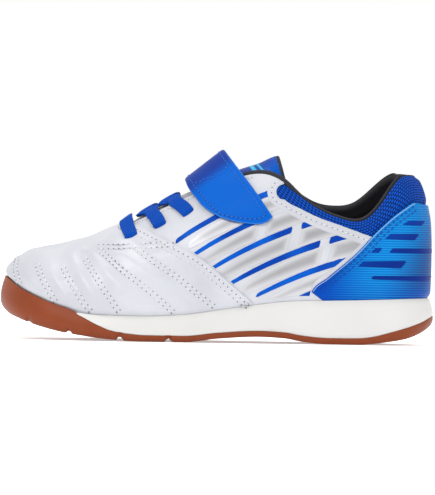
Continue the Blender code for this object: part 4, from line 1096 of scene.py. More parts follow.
def on_upper(line, side):
    """Parameters of the upper's outer face where it shows at x, z in the side view. side is -1 or 1."""
    table_u, table_v, table = SEEN[side]
    near = [np.argmin(((table - place) ** 2).sum(axis=1)) for place in line]
    u, v = table_u[near], table_v[near]
    du, dv = RING_LENGTH * 1e-5, 1e-4
    for _ in range(6):
        here = last_surface(u, v)
        to_u = (last_surface(u + du, v) - here) / du
        to_v = (last_surface(u, v + dv) - here) / dv
        miss_x, miss_z = (line - here[:, [0, 2]]).T
        det = to_u[:, 0] * to_v[:, 2] - to_v[:, 0] * to_u[:, 2]
        det = np.where(np.abs(det) < 1e-9, 1e-9, det)
        u = u + np.clip((miss_x * to_v[:, 2] - miss_z * to_v[:, 0]) / det, -0.004, 0.004)
        v = np.clip(v + np.clip((miss_z * to_u[:, 0] - miss_x * to_u[:, 2]) / det, -0.1, 0.1), 0, 1)
    return u, v


def on_shoe(line, side):
    """Points and normals where the side view's line lies on the upper."""
    return raised(*on_upper(line, side), 0)


# The sewn channels of the forefoot, in millimetres in the side view. The last runs along their tops.
CHANNELS = (
    ((-98.7, 39.6), (-99.3, 34.6), (-98.5, 31.1), (-96.7, 27.1)),
    ((-88.7, 36.5), (-86.3, 30.8), (-83.4, 25.5), (-79.1, 19.0)),
    ((-76.2, 36.2), (-74.1, 31.7), (-70.8, 26.8), (-65.5, 18.9), (-61.8, 14.6)),
    ((-65.5, 40.2), (-61.5, 34.0), (-58.3, 29.1), (-53.7, 22.6), (-48.1, 14.8)),
    ((-58.4, 44.1), (-53.7, 40.4), (-46.0, 34.0), (-38.3, 28.4), (-30.5, 22.4), (-21.6, 15.0)),
    ((-40.9, 45.1), (-36.2, 42.2), (-28.5, 37.0), (-21.2, 32.5), (-10.0, 23.9), (-1.8, 18.0)),
    ((-60.7, 45.2), (-48.5, 45.7), (-35.2, 46.1), (-21.8, 46.7)),
)
CHANNEL_HALF = 0.0010
PUFF_HEIGHT = 0.0013
PUFF_REACH = 0.0042
STITCHED_BAND = 0.22
PUCKER_HEIGHT = 0.00012

# Where a panel's back is over the upper, how far its edge is rounded, and its height behind the rim.
PANEL_BACK = 0.0001
PANEL_ROLL = 0.0003
FOOT_HEIGHT = 0.00018
SEAM_RISE = 0.0009


def side_curve(points):
    """Evenly spaced places along a smooth line through points in the side view, as x, z in metres."""
    return curve_through(np.array(points) * MM, 60)


def beside(line, distance):
    """The line in the side view moved across by distance, to the left of its own direction."""
    along = unit(np.gradient(line, axis=0))
    return line + np.column_stack([-along[:, 1], along[:, 0]]) * distance


CHANNEL_POINTS = np.vstack([on_shoe(side_curve(c), side)[0] for side in BOTH_SIDES for c in CHANNELS])


def channel_distance(points, chunk=4000):
    """The distance of each point from the nearest channel."""
    found = []
    for start in range(0, len(points), chunk):
        part = points[start : start + chunk]
        square = (part**2).sum(axis=1)[:, None] + (CHANNEL_POINTS**2).sum(axis=1)
        found.append((square - 2 * part @ CHANNEL_POINTS.T).min(axis=1))
    return np.sqrt(np.maximum(np.concatenate(found), 0))


def vamp_height(points):
    """How far the vamp's face stands over the upper: puffed between channels, sunk along their stitches."""
    far = channel_distance(points)
    swell = 1 - np.exp(-((np.maximum(far - CHANNEL_HALF, 0) / PUFF_REACH) ** 2))
    band = STITCHED_BAND * np.clip(1 - (far / CHANNEL_HALF) ** 2, 0, 1)
    x, z = points[:, 0], points[:, 2]
    reach = 1 - smoothstep(-0.036, -0.006, x + 0.35 * (z - 0.030))
    rim = smoothstep(0.0005, 0.0065, z - RIM_TOP(x))
    crown = 1 - smoothstep(0.043, 0.051, z)
    lift = SEAM_RISE * (1 - smoothstep(SEAM_OVERLAP, 2.2 * SEAM_OVERLAP, before_seam(points)))
    return VAMP_THICKNESS + lift + PUFF_HEIGHT * (swell + band) * reach * rim * crown


def vamp_pucker(points):
    """Small creases that run across the channels, strongest beside their stitches."""
    x, y, z = points.T
    far = channel_distance(points)
    near = np.exp(-((far / PUFF_REACH) ** 2)) * (far > 0.0008)
    return PUCKER_HEIGHT * near * np.sin(z * 2300 + x * 900) * np.sin(x * 1500 + y * 700)


def footed(rows, high):
    """A panel's height, drawn in where it goes down behind the sole's rim."""
    reach = 0.0014 + 0.0016 * smoothstep(length_share(-34.0), length_share(-30.0), rows[:, 0])
    share = smoothstep(-0.0002 / reach, 1.0, rows[:, CLIMB] / reach) ** 0.6
    return FOOT_HEIGHT + (high - FOOT_HEIGHT) * share


def panel_shell(rows, faces, low, high, roll=PANEL_ROLL):
    return shell(rows[:, :3], faces, rows[:, 3:6], low, high, roll)


def make_vamp(material):
    rows, faces = largest_part(*sheet_where(before_seam))
    points = rows[:, :3]
    high = footed(rows, vamp_height(points) + vamp_pucker(points))
    low = PANEL_BACK + SEAM_RISE * (1 - smoothstep(0.0, 1.6 * SEAM_OVERLAP, before_seam(points)))
    shape = panel_shell(rows, faces, np.minimum(low, high - 0.0002), high, 0.0002)
    add_piece("vamp_leather", shape, material, ("vamp",))


def quarter_height(points):
    """The quarter's face: slightly full in its middle, pressed down along its edges."""
    edge = np.minimum(np.minimum(beyond_seam(points), under_mesh(points)), off_counter(points))
    return QUARTER_THICKNESS + 0.0004 * smoothstep(0.0015, 0.010, edge)


def side_word(side):
    return "outer" if side < 0 else "inner"


def make_quarter(side, material):
    rows, faces = largest_part(
        *sheet_where(
            lambda r: beyond_seam(r) + SEAM_OVERLAP,
            under_mesh,
            lambda r: off_counter(r) + 0.0022,
            lambda r: r[:, 1] * side,
        )
    )
    points = rows[:, :3]
    high = footed(rows, quarter_height(points))
    under = np.minimum(beyond_seam(points), off_counter(points))
    high = np.where(under < 0.0004, np.minimum(high, 0.0007), high)
    name = f"quarter_{side_word(side)}"
    shape = panel_shell(rows, faces, PANEL_BACK, high)
    add_piece(f"{name}_leather", shape, material, (name,))


def make_counter(material, light):
    start = length_share(20.0)
    rows, faces = largest_part(
        *sheet_where(under_counter_edge, lambda r: r[:, 0] - start, behind_counter_toe)
    )
    edge = under_counter_edge(rows)
    high = COUNTER_THICKNESS * (1 + 0.55 + 0.45 * smoothstep(0.0, 0.006, edge))
    data = {"flow": np.column_stack([rows[:, RING_PLACE], rows[:, CLIMB], edge])}
    shape = panel_shell(rows, faces, PANEL_BACK, footed(rows, high))
    add_piece("heel_counter_coated", shape, material, ("heel_counter",), data)
    for side in BOTH_SIDES:
        line = beside(edge_line(COUNTER, length_share(21.8), length_share(44.6), 90), -0.0004)
        path, _ = raised(*on_upper(line, side), 0.0013)
        add_piece(f"counter_edge_{side_word(side)}", tube(path, 0.00020), light)


def circle(first, second, around):
    """Unit vectors all round, from one direction towards the other: one array for each corner."""
    turn = np.arange(around) * 2 * math.pi / around
    return [first * math.cos(t) + second * math.sin(t) for t in turn]


def tube(path, radius, around=8):
    """A closed round tube along a path."""
    along = unit(np.gradient(path, axis=0))
    side = unit(np.cross(along, (0.13, 0.21, 0.97)))
    radius = np.broadcast_to(radius, len(path))[:, None]
    rings = [path + away * radius for away in circle(side, np.cross(side, along), around)]
    points = np.stack(rings, axis=1).reshape(-1, 3)
    *sides, first, last = capped_tube(len(path), around)
    return points, facing_out(points, [f[::-1] for f in sides] + [first, last])


# Sewing. Every row is a path with normals. Stitches are small capsules that dip in at their ends, and
# holes are dimples between them, dark with painted shade. Columns of their rings: place along, size and rise.
STITCH_LENGTH = 0.0019
STITCH_PITCH = 0.0027
STITCH_RADIUS = 0.00026
STITCH_RINGS = (
    (-0.5, 0.35, -0.8), (-0.38, 0.9, 0.1), (0.0, 1.0, 0.45), (0.38, 0.9, 0.1), (0.5, 0.35, -0.8),
)
HOLE_RINGS = ((1.0, -0.35), (0.75, 0.22), (0.3, 0.30))


def followed(at, length, path):
    """Points of a path at distances along it."""
    return np.column_stack([np.interp(at, length, column) for column in path.T])


def resampled(path, normals, pitch):
    """Places a pitch apart along a path, with their directions and normals."""
    length = walked(path)
    count = max(int(length[-1] / pitch), 1)
    at = (np.arange(count) + 0.5) * length[-1] / count
    nearby = 0.15 * pitch
    along = unit(followed(at + nearby, length, path) - followed(at - nearby, length, path))
    return followed(at, length, path), along, unit(followed(at, length, normals))


def repeated(rings, count, around):
    """Points and faces of one closed shape at every place of a row. rings holds an array for each corner."""
    points = np.stack(rings, axis=1).reshape(-1, 3)
    corners = count * around
    one = facing_out(points[:corners], capped_tube(count, around))
    starts = range(0, len(points), corners)
    return points, [[c + start for c in f] for start in starts for f in one]


def stitch_shapes(path, normals, pitch=STITCH_PITCH, length=STITCH_LENGTH, radius=STITCH_RADIUS):
    """Points and faces of a row of stitches."""
    mid, along, normal = resampled(path, normals, pitch)
    rings = [
        mid + along * place * length + normal * rise * radius + away * size * radius
        for place, size, rise in STITCH_RINGS
        for away in circle(unit(np.cross(normal, along)), normal, 6)
    ]
    return repeated(rings, len(STITCH_RINGS), 6)


def hole_shapes(path, normals, pitch=STITCH_PITCH, radius=0.00042):
    """Small dark dimples where the needle went through, between the stitches of a row. Their dark colour is
    painted shade in the holes.
    """
    shifted = path + unit(np.gradient(path, axis=0)) * pitch * 0.5
    mid, along, normal = resampled(shifted, normals, pitch)
    rings = [
        mid + away * size * radius + normal * rise * radius
        for size, rise in HOLE_RINGS
        for away in circle(along, unit(np.cross(normal, along)), 8)
    ]
    return repeated(rings, len(HOLE_RINGS), 8)


def joined(shapes):
    faces, start = [], 0
    for points, one_faces in shapes:
        faces += [[c + start for c in f] for f in one_faces]
        start += len(points)
    return np.vstack([points for points, _ in shapes]), faces


def edge_line(edge, first, last, count):
    """A panel's edge in the side view between two places along the shoe."""
    x = np.linspace(first, last, count)
    return np.column_stack([x, edge(x)])


def vamp_rows(side):
    """Two rows of stitches along every channel and two beside the seam."""
    lines = [(side_curve(channel), (-CHANNEL_HALF, CHANNEL_HALF)) for channel in CHANNELS]
    seam = edge_line(SEAM, length_share(-22.6), length_share(7.7), 120)
    lines.append((seam, (-0.0020, -0.0042)))
    return [on_shoe(beside(line, d), side) for line, distances in lines for d in distances]


def quarter_rows(side):
    """One row inside the quarter's top edge and one along the eyestay's edge."""
    line = beside(edge_line(QUARTER, TAB_X + 0.001, length_share(35.0), 60), -0.0022)
    turn = np.radians(np.linspace(115, 255, 24))
    bend = (TAB_X, TAB_Z) + (TAB_RADIUS + 0.0020) * np.column_stack([np.cos(turn), np.sin(turn)])
    return [on_shoe(np.vstack([bend, line]), side), raised(ring_places(7.1, 10.4, 60, side), 0.962, 0)]


def make_sewing(white, blue, dark):
    thread, holes, blue_rows = [], [], []
    for side in BOTH_SIDES:
        for path, normals in vamp_rows(side):
            over = path + normals * (vamp_height(path) - 0.00002)[:, None]
            thread.append(stitch_shapes(over, normals))
            holes.append(hole_shapes(over, normals))
        for path, normals in quarter_rows(side):
            over = path + normals * (quarter_height(path) + 0.00002)[:, None]
            thread.append(stitch_shapes(over, normals))
            holes.append(hole_shapes(over, normals, radius=0.00034))
        for distance in (-0.0016, -0.0036):
            line = beside(edge_line(COUNTER, length_share(22.4), length_share(44.2), 90), distance)
            blue_rows.append(stitch_shapes(*raised(*on_upper(line, side), 0.00172)))
    add_piece("stitches_white", joined(thread), white)
    add_piece("stitches_blue", joined(blue_rows), blue)
    add_piece("needle_holes", joined(holes), dark)


# Printed foil on the outer side: tapered bars with round ends. Columns: distance across, half width at
# the back, start and end along the bars, all in millimetres, and how thin the front end is.
Bar = namedtuple("Bar", "across half start end taper")
BAR_SLOPE = math.radians(24)
BAR_BEND = 0.0022
BAR_SLANT = 0.75
SILVER_BARS = (
    Bar(52.0, 3.4, 6.0, 38.0, 0.25),
    Bar(52.0, 3.4, 42.0, 90.0, 1.0),
    Bar(42.0, 3.6, 8.0, 40.0, 0.25),
    Bar(42.0, 3.6, 45.0, 90.0, 1.0),
    Bar(31.2, 3.9, 12.0, 52.0, 0.35),
    Bar(31.2, 3.9, 58.0, 90.0, 1.0),
    Bar(19.8, 4.3, 22.0, 64.0, 0.35),
    Bar(19.8, 4.3, 69.0, 90.0, 1.0),
    Bar(8.8, 3.4, 30.0, 66.0, 0.3),
)
BLUE_BARS = (
    Bar(57.2, 1.4, 1.0, 62.0, 0.6),
    Bar(47.0, 1.3, 4.0, 47.0, 0.5),
    Bar(36.6, 1.4, 12.0, 56.0, 0.5),
    Bar(36.6, 1.4, 61.0, 90.0, 1.0),
    Bar(25.6, 1.5, 16.0, 66.0, 0.45),
    Bar(25.6, 1.5, 71.0, 90.0, 1.0),
    Bar(14.2, 1.5, 27.0, 74.0, 0.45),
    Bar(4.2, 1.2, 40.0, 54.0, 0.5),
)

# Staggered dashes on the heel counter, in the same columns, level and straight.
HEEL_BARS = (
    Bar(60.2, 1.2, 87.0, 100.0, 0.5),
    Bar(53.4, 1.6, 75.0, 97.0, 0.4),
    Bar(46.6, 1.2, 69.0, 80.0, 0.5),
    Bar(46.6, 1.2, 85.0, 105.0, 0.8),
    Bar(39.8, 1.8, 62.0, 91.0, 0.35),
    Bar(33.2, 1.2, 76.0, 104.0, 0.6),
)
PRINT_ROLL = 0.00005
PRINT_THICKNESS = 0.00024
DASH_BACK = 0.0017


def bar_field(points, bars, slope=BAR_SLOPE, bend=BAR_BEND):
    """Positive inside any bar, in metres from its edge."""
    x, z = points[:, 0] / MM, points[:, 2] / MM
    along = x * math.cos(slope) + z * math.sin(slope)
    across = z * math.cos(slope) - x * math.sin(slope) + bend * (along - 45.0) ** 2
    best = np.full(len(points), -1.0)
    for bar in bars:
        slanted = along - (across - bar.across) * BAR_SLANT
        share = np.clip((slanted - bar.start) / (bar.end - bar.start), 0, 1)
        half = bar.half * (bar.taper + (1 - bar.taper) * np.sqrt(share))
        ends = np.minimum(slanted - bar.start, bar.end - slanted) * 0.8
        best = np.maximum(best, np.minimum(half - np.abs(across - bar.across), ends) * MM)
    return best


def make_heel_dashes(material):
    rows, faces = sheet_where(
        over_rim, lambda r: under_counter_edge(r) - 0.0052, lambda r: bar_field(r, HEEL_BARS, 0.0, 0.0)
    )
    shape = panel_shell(rows, faces, DASH_BACK, DASH_BACK + PRINT_THICKNESS, PRINT_ROLL)
    add_piece("heel_dashes", shape, material)


def make_graphic(name, bars, material):
    rows, faces = sheet_where(
        over_rim,
        lambda r: -r[:, 1],
        lambda r: r[:, DEPTH] - 0.0055,
        lambda r: beyond_seam(r) - 0.0012,
        lambda r: under_mesh(r) - 0.0042,
        lambda r: over_counter_edge(r) - 0.0022,
        lambda r: bar_field(r, bars),
    )
    low = quarter_height(rows[:, :3]) - 0.0001
    # shade is 0 at a bar's edge and 1 in its middle: the foil's painted reflection shading.
    foil_painted_shade = smoothstep(0.0, 0.0034, bar_field(rows, bars))
    data = {"shade": np.column_stack([foil_painted_shade, foil_painted_shade, foil_painted_shade])}
    shape = panel_shell(rows, faces, low, low + PRINT_THICKNESS + 0.00002, PRINT_ROLL)
    add_piece(name, shape, material, data=data)


def upper_sheets(u, v, rows):
    """The upper's outer face with the mesh's swell, its lining, and the share of padding."""
    points, normals = rows[..., :3], rows[..., 3:6]
    pad = collar_pad(u)[:, None] * smoothstep(0.60, 0.88, v)
    lining = points - normals * (UPPER_WALL + COLLAR_PAD * pad)[..., None]
    flat = points.reshape(-1, 3)
    bare = np.minimum(over_counter_edge(flat), -under_mesh(flat)).reshape(pad.shape)
    swell = MESH_SWELL * smoothstep(-0.0005, 0.0026, bare) * (1 - smoothstep(0.90, 0.985, v))
    points = points + normals * (swell * smoothstep(0.045, 0.085, points[..., 0]))[..., None]
    foot = np.stack([skirt(u, d) for d in (1.0, 0.6, 0.3)], axis=1)
    foot_lining = foot - np.column_stack([outward(u), np.zeros(len(u))])[:, None] * UPPER_WALL
    return np.concatenate([foot, points], axis=1), np.concatenate([foot_lining, lining], axis=1), pad


def upper_flow(u, grid, top):
    """Distances along and down the collar for the mesh, measured square to its edge."""
    climbed = walked(grid)
    edge = unit(np.roll(grid[:, top], -1, 0) - np.roll(grid[:, top], 1, 0))
    slant = np.linalg.norm(np.cross(edge, unit(grid[:, top] - grid[:, top - 7])), axis=1)
    down = np.abs(climbed[:, top : top + 1] - climbed) * np.clip(slant, 0.3, 1)[:, None]
    return np.stack([np.broadcast_to(u[:, None], down.shape), down], axis=2).reshape(-1, 2)


def make_upper(mesh, lining, white):
    """The whole wall: outer face, rounded rim along the collar and throat, and lining."""
    u = ring_stations(FINE_STEPS)
    stations = len(u)
    keep = np.unique(np.r_[0 : FINE_ROWS + 1 : 2, FINE_ROWS - 6 : FINE_ROWS + 1])
    v = np.linspace(0, 1, FINE_ROWS + 1)[keep]
    outer, inner, pad = upper_sheets(u, v, SHEET_ROWS[:, keep])
    top = outer.shape[1] - 1
    closed = is_closed(u)
    roll = np.where(closed, 0, 0.0006 + 0.0013 * pad[:, -1])
    up = unit(outer[:, -1] - outer[:, -3])
    centre, half = (outer[:, -1] + inner[:, -1]) / 2, (outer[:, -1] - inner[:, -1]) / 2
    turns = np.linspace(0, math.pi, 9)[1:-1]
    rim = [centre + half * math.cos(t) + up * (roll * math.sin(t))[:, None] for t in turns]
    grid = np.concatenate([outer, np.stack(rim, axis=1), inner[:, ::-1]], axis=1)
    width = grid.shape[1]
    index = numbered(stations, width)
    for k in range(1, CLOSED_SECTIONS * FINE_STEPS + 1):
        index[stations - k, top : width - top] = index[k, top : width - top]
    all_faces = quads(np.column_stack([index, index[:, :1]]), True)
    station, column = np.divmod(np.arange(len(all_faces)), width)
    in_rim = (column >= top) & (column < width - top - 1)
    skip = in_rim & closed[station] & closed[(station + 1) % stations]
    throat = (u[station] < ring_knot(THROAT_END, -1)) | (u[station] > ring_knot(THROAT_END, 1))
    kind = np.where(in_rim & throat, 2, np.where(column < top, 0, 1))
    rings = [(clean_face(face), one) for face, one in zip(all_faces[~skip].tolist(), kind[~skip].tolist())]
    faces, kinds = zip(*[pair for pair in rings if pair[0]])
    rows = np.column_stack([grid.reshape(-1, 3), upper_flow(u, grid, top)])
    rows, faces = compacted(rows, faces)
    materials, data = (mesh, lining, white), {"flow": rows[:, 3:]}
    obj = add_piece("upper_shell", (rows[:, :3], faces), materials, ("upper",), data)
    obj.data.polygons.foreach_set("material_index", kinds)


def make_collar_binding(material):
    """The narrow dark edges that close the collar and line the throat. Along the throat the tube is partly
    black binding and partly painted shade of the gap beside the tongue.
    """
    for name, first, last, level in (("collar", 11.5, 16.4, 0.995), ("throat", 7.6, 12.0, 0.998)):
        for side in BOTH_SIDES:
            sections = np.linspace(first, last, 120)
            u = ring_places(first, last, 120, side)
            edge, normals = raised(u, level, 0)
            up = unit(edge - last_surface(u, level - 0.03))
            if name == "collar":
                path = edge - normals * 0.0004 + up * (0.0004 + 0.0004 * collar_pad(u))[:, None]
                radius = 0.00062 * np.linspace(24, 0, 120).clip(0.2, 1)
            else:
                # Where the throat tube thickens and lifts, its black is partly binding and partly painted
                # shade of the gap between the tongue and the eyestay.
                thick = smoothstep(8.8, 10.2, sections) * (1 - smoothstep(11.2, 12.0, sections))
                front = 0.0006 * (1 - smoothstep(8.6, 9.4, sections))
                path = edge - normals * (0.0006 + 0.0003 * thick)[:, None] + up * (0.0001 + front)[:, None]
                path[:, 2] += 0.0016 * thick
                radius = 0.0005 + 0.00100 * thick
            add_piece(f"{name}_binding_{side_word(side)}", tube(path, radius), material)


def cap_quads(ring, facing_up):
    """Faces across the sole between the outer and inner stations of one ring of points."""
    count = len(ring)
    corners = [(ring[k], ring[-k % count], ring[-k - 1], ring[k + 1]) for k in range(count // 2)]
    faces = clean(corners)
    return [f[::-1] for f in faces] if facing_up else faces


def ring_body(rings, floor=False):
    """A closed solid from rings that run from its underside out, up and in over its top.

    With floor, the first ring lies on the middle line, where its two sides meet."""
    count = len(rings[0])
    index = numbered(len(rings), count)
    if floor:
        index[0, -np.arange(count // 2 + 1)] = index[0, : count // 2 + 1]
    faces = clean(quads(index.T, True))
    if not floor:
        faces += cap_quads(index[0].tolist(), False)
    return compacted(np.vstack(rings), faces + cap_quads(index[-1].tolist(), True))


# Flex grooves: x in per cent of SOLE_LENGTH from mid-length, and the share of the full width and depth.
GROOVES = ((-42.9, 0.7), (-33.7, 0.8), (-22.0, 1.0), (-10.9, 1.0))
GUM_SHARES = (0.0, 0.06, 0.14, 0.25, 0.42, 0.6, 0.8, 0.94, 1.0)
FOAM_SHARES = (0.0, 0.04, 0.12, 0.25, 0.4, 0.55, 0.7, 0.82, 0.92, 0.98, 1.0)
EDGE_GAP = 0.0002


def groove_depth(x):
    """How far the flex grooves rise into the sole at x."""
    depth = np.zeros_like(x)
    for share, width in GROOVES:
        far = np.abs(x - length_share(share)) / (GROOVE_WIDTH / 2 * width)
        depth = np.maximum(depth, GROOVE_DEPTH * width * (1 - smoothstep(0.35, 1.15, far)))
    return depth


def tread_relief(x, y):
    """A shallow tread: a ring pattern under the ball of the foot and waves elsewhere."""
    turn = 2 * math.pi
    far = np.hypot(x + 0.040, y + 0.002)
    waves = np.sin((x + 0.0035 * np.sin(y * turn / 0.016)) * turn / 0.0058)
    share = smoothstep(0.0200, 0.0215, far)
    return 0.0007 * smoothstep(-0.2, 0.5, np.sin(far * turn / 0.0052) * (1 - share) + waves * share)


def toe_cover(u):
    """1 round the toe, where the gum comes up to the leather, and 0 from the start of the side wall on."""
    return 1 - smoothstep(length_share(-33.6), length_share(-31.4), EDGE(u)[:, 0])


def underside_rings(u):
    """Rings from the underside's middle line out to its border, with the grooves and the tread."""
    border = outline(u, SIDE_INSET(0.0) + 0.0030)
    middle = (border + border[-np.arange(len(u))]) / 2
    rings = []
    for share in np.linspace(1, 0, 46):
        x, y = (border * (1 - share) + middle * share).T
        tread = tread_relief(x, y) * smoothstep(0.0, 0.05, share)
        rings.append(np.column_stack([x, y, GROUND(x) + np.maximum(groove_depth(x), tread)]))
    return rings


def make_outsole(material):
    u = ring_stations(SOLE_STEPS)
    ground, rim, gum, _ = sole_frame(u)
    gum = gum + (1 + 0.0003 / (rim - ground) - gum) * toe_cover(u)
    top = side_ring(u, gum)[:, 2]
    rings = underside_rings(u)
    for share in GUM_SHARES:
        ring = side_ring(u, gum * share)
        ring[:, 2] += groove_depth(ring[:, 0]) * (1 - smoothstep(0.35, 0.75, gum * share * 2))
        rings.append(ring)
    rings[-1][:, 2] = top
    inner = outline(u, wrap_inset(u))
    low = np.minimum(GROUND(inner[:, 0]) + GUM_LAYER, top - 0.0003)
    edge = outline(u, SIDE_INSET(gum) + 0.0003)
    rings += [np.column_stack(pair) for pair in ((edge, top + 0.00012), (inner, top), (inner, low))]
    shape = ring_body(rings, floor=True)
    add_piece("outsole_gum", shape, material, ("outsole",), sharp=35)


def make_midsole(material):
    u = ring_stations(SOLE_STEPS)
    ground, rim, gum, covered = sole_frame(u)
    inner = outline(u, wrap_inset(u) + FIT_GAP)
    ledge = np.minimum(ground + gum * (rim - ground) + FIT_GAP * 0.5, rim - EDGE_GAP)
    low = np.minimum(GROUND(inner[:, 0]) + GUM_LAYER + FIT_GAP, ledge - 0.0003)
    rim = rim - 0.0009 * toe_cover(u)
    ledge = np.minimum(ledge, rim - EDGE_GAP)
    rings = [np.column_stack([inner, low]), np.column_stack([inner, ledge])]
    for share in FOAM_SHARES:
        height = ledge + share * (rim - ledge)
        inset = SIDE_INSET((height - ground) / (rim - ground))
        inset = inset + 0.0005 * (share > 0.95) + 0.0003 * (share == 0.0)
        inset = np.where(covered, wrap_inset(u) + FIT_GAP, inset)
        rings.append(np.column_stack([outline(u, inset), height]))
    for depth in (0.0, 0.5, 1.0):
        foot = outline(u, upper_inset(u) - FIT_GAP + TUCK_UNDER * depth**2)
        height = rim - 0.0004 * (depth == 0) + (BED(foot[:, 0]) - rim) * depth
        rings.append(np.column_stack([foot, height]))
    add_piece("midsole_foam", ring_body(rings), material, ("midsole",), sharp=35)


def make_insole(material):
    u = ring_stations(8)
    rings = []
    for height, inset in ((0.0, 0.0004), (0.7, 0.0), (1.0, 0.0006), (1.0, 0.0020)):
        foot = outline(u, upper_inset(u) + TUCK_UNDER + UPPER_WALL + 0.0006 + inset)
        rings.append(np.column_stack([foot, BED(foot[:, 0]) + FIT_GAP + INSOLE_THICKNESS * height]))
    points, faces = ring_body(rings)
    data = {"flow": points[:, :2]}
    add_piece("insole_fabric", (points, faces), material, ("insole",), data)


def refined(grid, rows, columns):
    """A grid of points made finer along smooth curves through its rows and columns."""
    count, across = grid.shape[:2]
    at = np.linspace(0, count - 1, rows)
    tall = np.stack([spline(np.arange(count), grid[:, k])(at) for k in range(across)], axis=1)
    at = np.linspace(0, across - 1, columns)
    return np.stack([spline(np.arange(across), row)(at) for row in tall], axis=0)


def make_tongue(material):
    rows, columns = 92, 61
    points, faces, normals = sheet_of(refined(tongue_grid(), rows, columns))
    across = np.abs(np.linspace(-1, 1, columns))
    full = np.tile(1 - 0.6 * smoothstep(0.55, 1.0, across), (rows, 1))
    full[: rows // 6] *= 0.5
    edge = np.minimum(1.0, (1 - across) / 0.05)
    end = np.minimum(1.0, np.arange(rows)[::-1] / 3.0)[:, None]
    sink = 0.0007 * (1 - edge * end)
    shape = shell(points, faces, normals, -TONGUE_THICKNESS * full.ravel(), -sink.ravel(), 0.0004)
    add_piece("tongue_body", shape, material, ("tongue",))


# The panel's patch on a fine grid of the tongue, and the first and last rows of the patch under each bar.
PANEL_ROWS, PANEL_COLUMNS = slice(78, 120), slice(10, 71)
TONGUE_BARS = ((12, 15), (18, 20))


def panel_patch(fine, rows=40, columns=41):
    part = fine[PANEL_ROWS, PANEL_COLUMNS]
    picked = [np.linspace(0, n - 1, m).round().astype(int) for n, m in zip(part.shape, (rows, columns))]
    return part[np.ix_(*picked)]


def picked_path(grid, normals, places, height):
    """Points over a grid at its places, lifted by height, and their normals."""
    turned = np.array([normals.reshape(grid.shape)[place] for place in places])
    return np.array([grid[place] for place in places]) + turned * height, turned


def make_tongue_panel(material, binding, thread, light):
    """The satin face at the tongue's top with its stitches, its binding and two short printed bars."""
    fine = refined(tongue_grid(), 121, 81)
    grid = panel_patch(fine)
    rows, columns = grid.shape[:2]
    points, faces, normals = sheet_of(grid)
    w = np.abs(np.linspace(-1, 1, columns))
    h = np.abs(np.linspace(-1, 1, rows))[:, None]
    dome = (1 - smoothstep(0.86, 1.0, w)) * (1 - smoothstep(0.90, 1.0, h))
    high = FIT_GAP * 1.6 + PANEL_THICKNESS * (0.45 + 0.55 * dome)
    shape = shell(points, faces, normals, 0.0002, high.ravel(), 0.0003)
    add_piece("tongue_panel_satin", shape, material, ("tongue_panel",))
    ring = [(n, 2) for n in range(2, rows - 2)]
    ring += [(rows - 3, n) for n in range(3, columns - 3)]
    ring += [(n, columns - 3) for n in range(rows - 3, 1, -1)]
    row = picked_path(grid, normals, ring, 0.00118)
    add_piece("tongue_panel_stitches", stitch_shapes(*row, 0.0024, 0.0017, 0.00022), thread)
    edge = np.vstack([fine[50:119, 4], fine[119, 5:76], fine[118:49:-1, 76]])
    add_piece("tongue_binding", tube(edge, 0.0012), binding)
    low = FIT_GAP + PANEL_THICKNESS * 0.8
    sheets = [sheet_of(grid[first : last + 1, 4:-4]) for first, last in TONGUE_BARS]
    bars = joined([shell(*sheet, low, low + 0.00042, 0.0001) for sheet in sheets])
    add_piece("tongue_bars", bars, light)


def lace_mesh(path, normals, ends, bow=0.0002):
    """A flat ribbed lace along a path, and its flow. ends are the shares of its width kept at its ends."""
    along = unit(np.gradient(path, axis=0))
    side = unit(np.cross(normals, along))
    normal = np.cross(along, side)
    across = np.concatenate([np.linspace(-1, 1, 33), np.linspace(1, -1, 13)[1:-1]])
    ribs = 0.5 + 0.5 * np.cos(across * math.pi * 8)
    high = np.where(np.arange(len(across)) < 33, 0.36 + 0.14 * ribs, -0.48)
    offset = LACE_THICKNESS * high * np.sqrt(np.clip(1 - np.abs(across) ** 7, 0, 1)) + bow * (1 - across**2)
    length = walked(path)
    share = length / length[-1]
    narrow = 1 - (1 - ends[0]) * (1 - smoothstep(0.0, 0.16, share))
    narrow = narrow * (1 - (1 - ends[1]) * smoothstep(0.84, 1.0, share))
    wide = across * (LACE_WIDTH / 2 * narrow)[:, None]
    points = path[:, None] + side[:, None] * wide[..., None] + normal[:, None] * offset[None, :, None]
    flow = np.stack([np.broadcast_to(length[:, None], wide.shape), wide], axis=2).reshape(-1, 2)
    flat = points.reshape(-1, 3)
    return (flat, facing_out(flat, capped_tube(*wide.shape))), flow


def lace_line(points, normals, count):
    length = walked(points)
    path = curve_through(points, count)
    at = walked(path)
    at *= length[-1] / at[-1]
    return path, unit(followed(at, length, normals))


def lengthened(points, normals, start, end):
    """The path with its ends carried on by so many metres."""
    if start:
        points = np.vstack([points[0] + unit(points[0] - points[1]) * start, points])
        normals = np.vstack([normals[:1], normals])
    after = points[-1] + unit(points[-1] - points[-2]) * end
    return np.vstack([points, after]), np.vstack([normals, normals[-1:]])


def make_lace(name, node, path, count, start, material, keep):
    """One piece of lace. Its end, and its start where start isn't 0, bends down into a slot."""
    path, normals = lace_line(*path, count)
    length = walked(path)
    down = start * (1 - smoothstep(0.0, 0.0020, length))
    down = down + LACE_DIVE * (1 - smoothstep(0.0, 0.0020, length[-1] - length))
    shape, flow = lace_mesh(path - normals * down[:, None], normals, (keep, 0.92))
    add_piece(name, shape, material, (node,), {"flow": flow})


def make_laces(material, dark):
    bar = lengthened(*lace_bar_path(), 0.0032, 0.0032)
    make_lace("lace_bar_woven", "lace_bar", bar, 110, LACE_DIVE, material, 0.92)
    for name, low, high in (("lower", 0, 1), ("upper", 1, 2)):
        for word, side, stack in (("a", -1, 0.0), ("b", 1, LACE_THICKNESS * 0.95)):
            strand = lengthened(*lace_strand_path(low, high, side, stack), 0.0, 0.0026)
            make_lace(f"lace_{name}_{word}", f"lace_cross_{name}", strand, 100, 0.0, material, 0.95)
    slits = [slit_shape(slot, side) for side in BOTH_SIDES for slot in side_metres(SLOTS)]
    add_piece("lace_slits", joined(slits), dark)


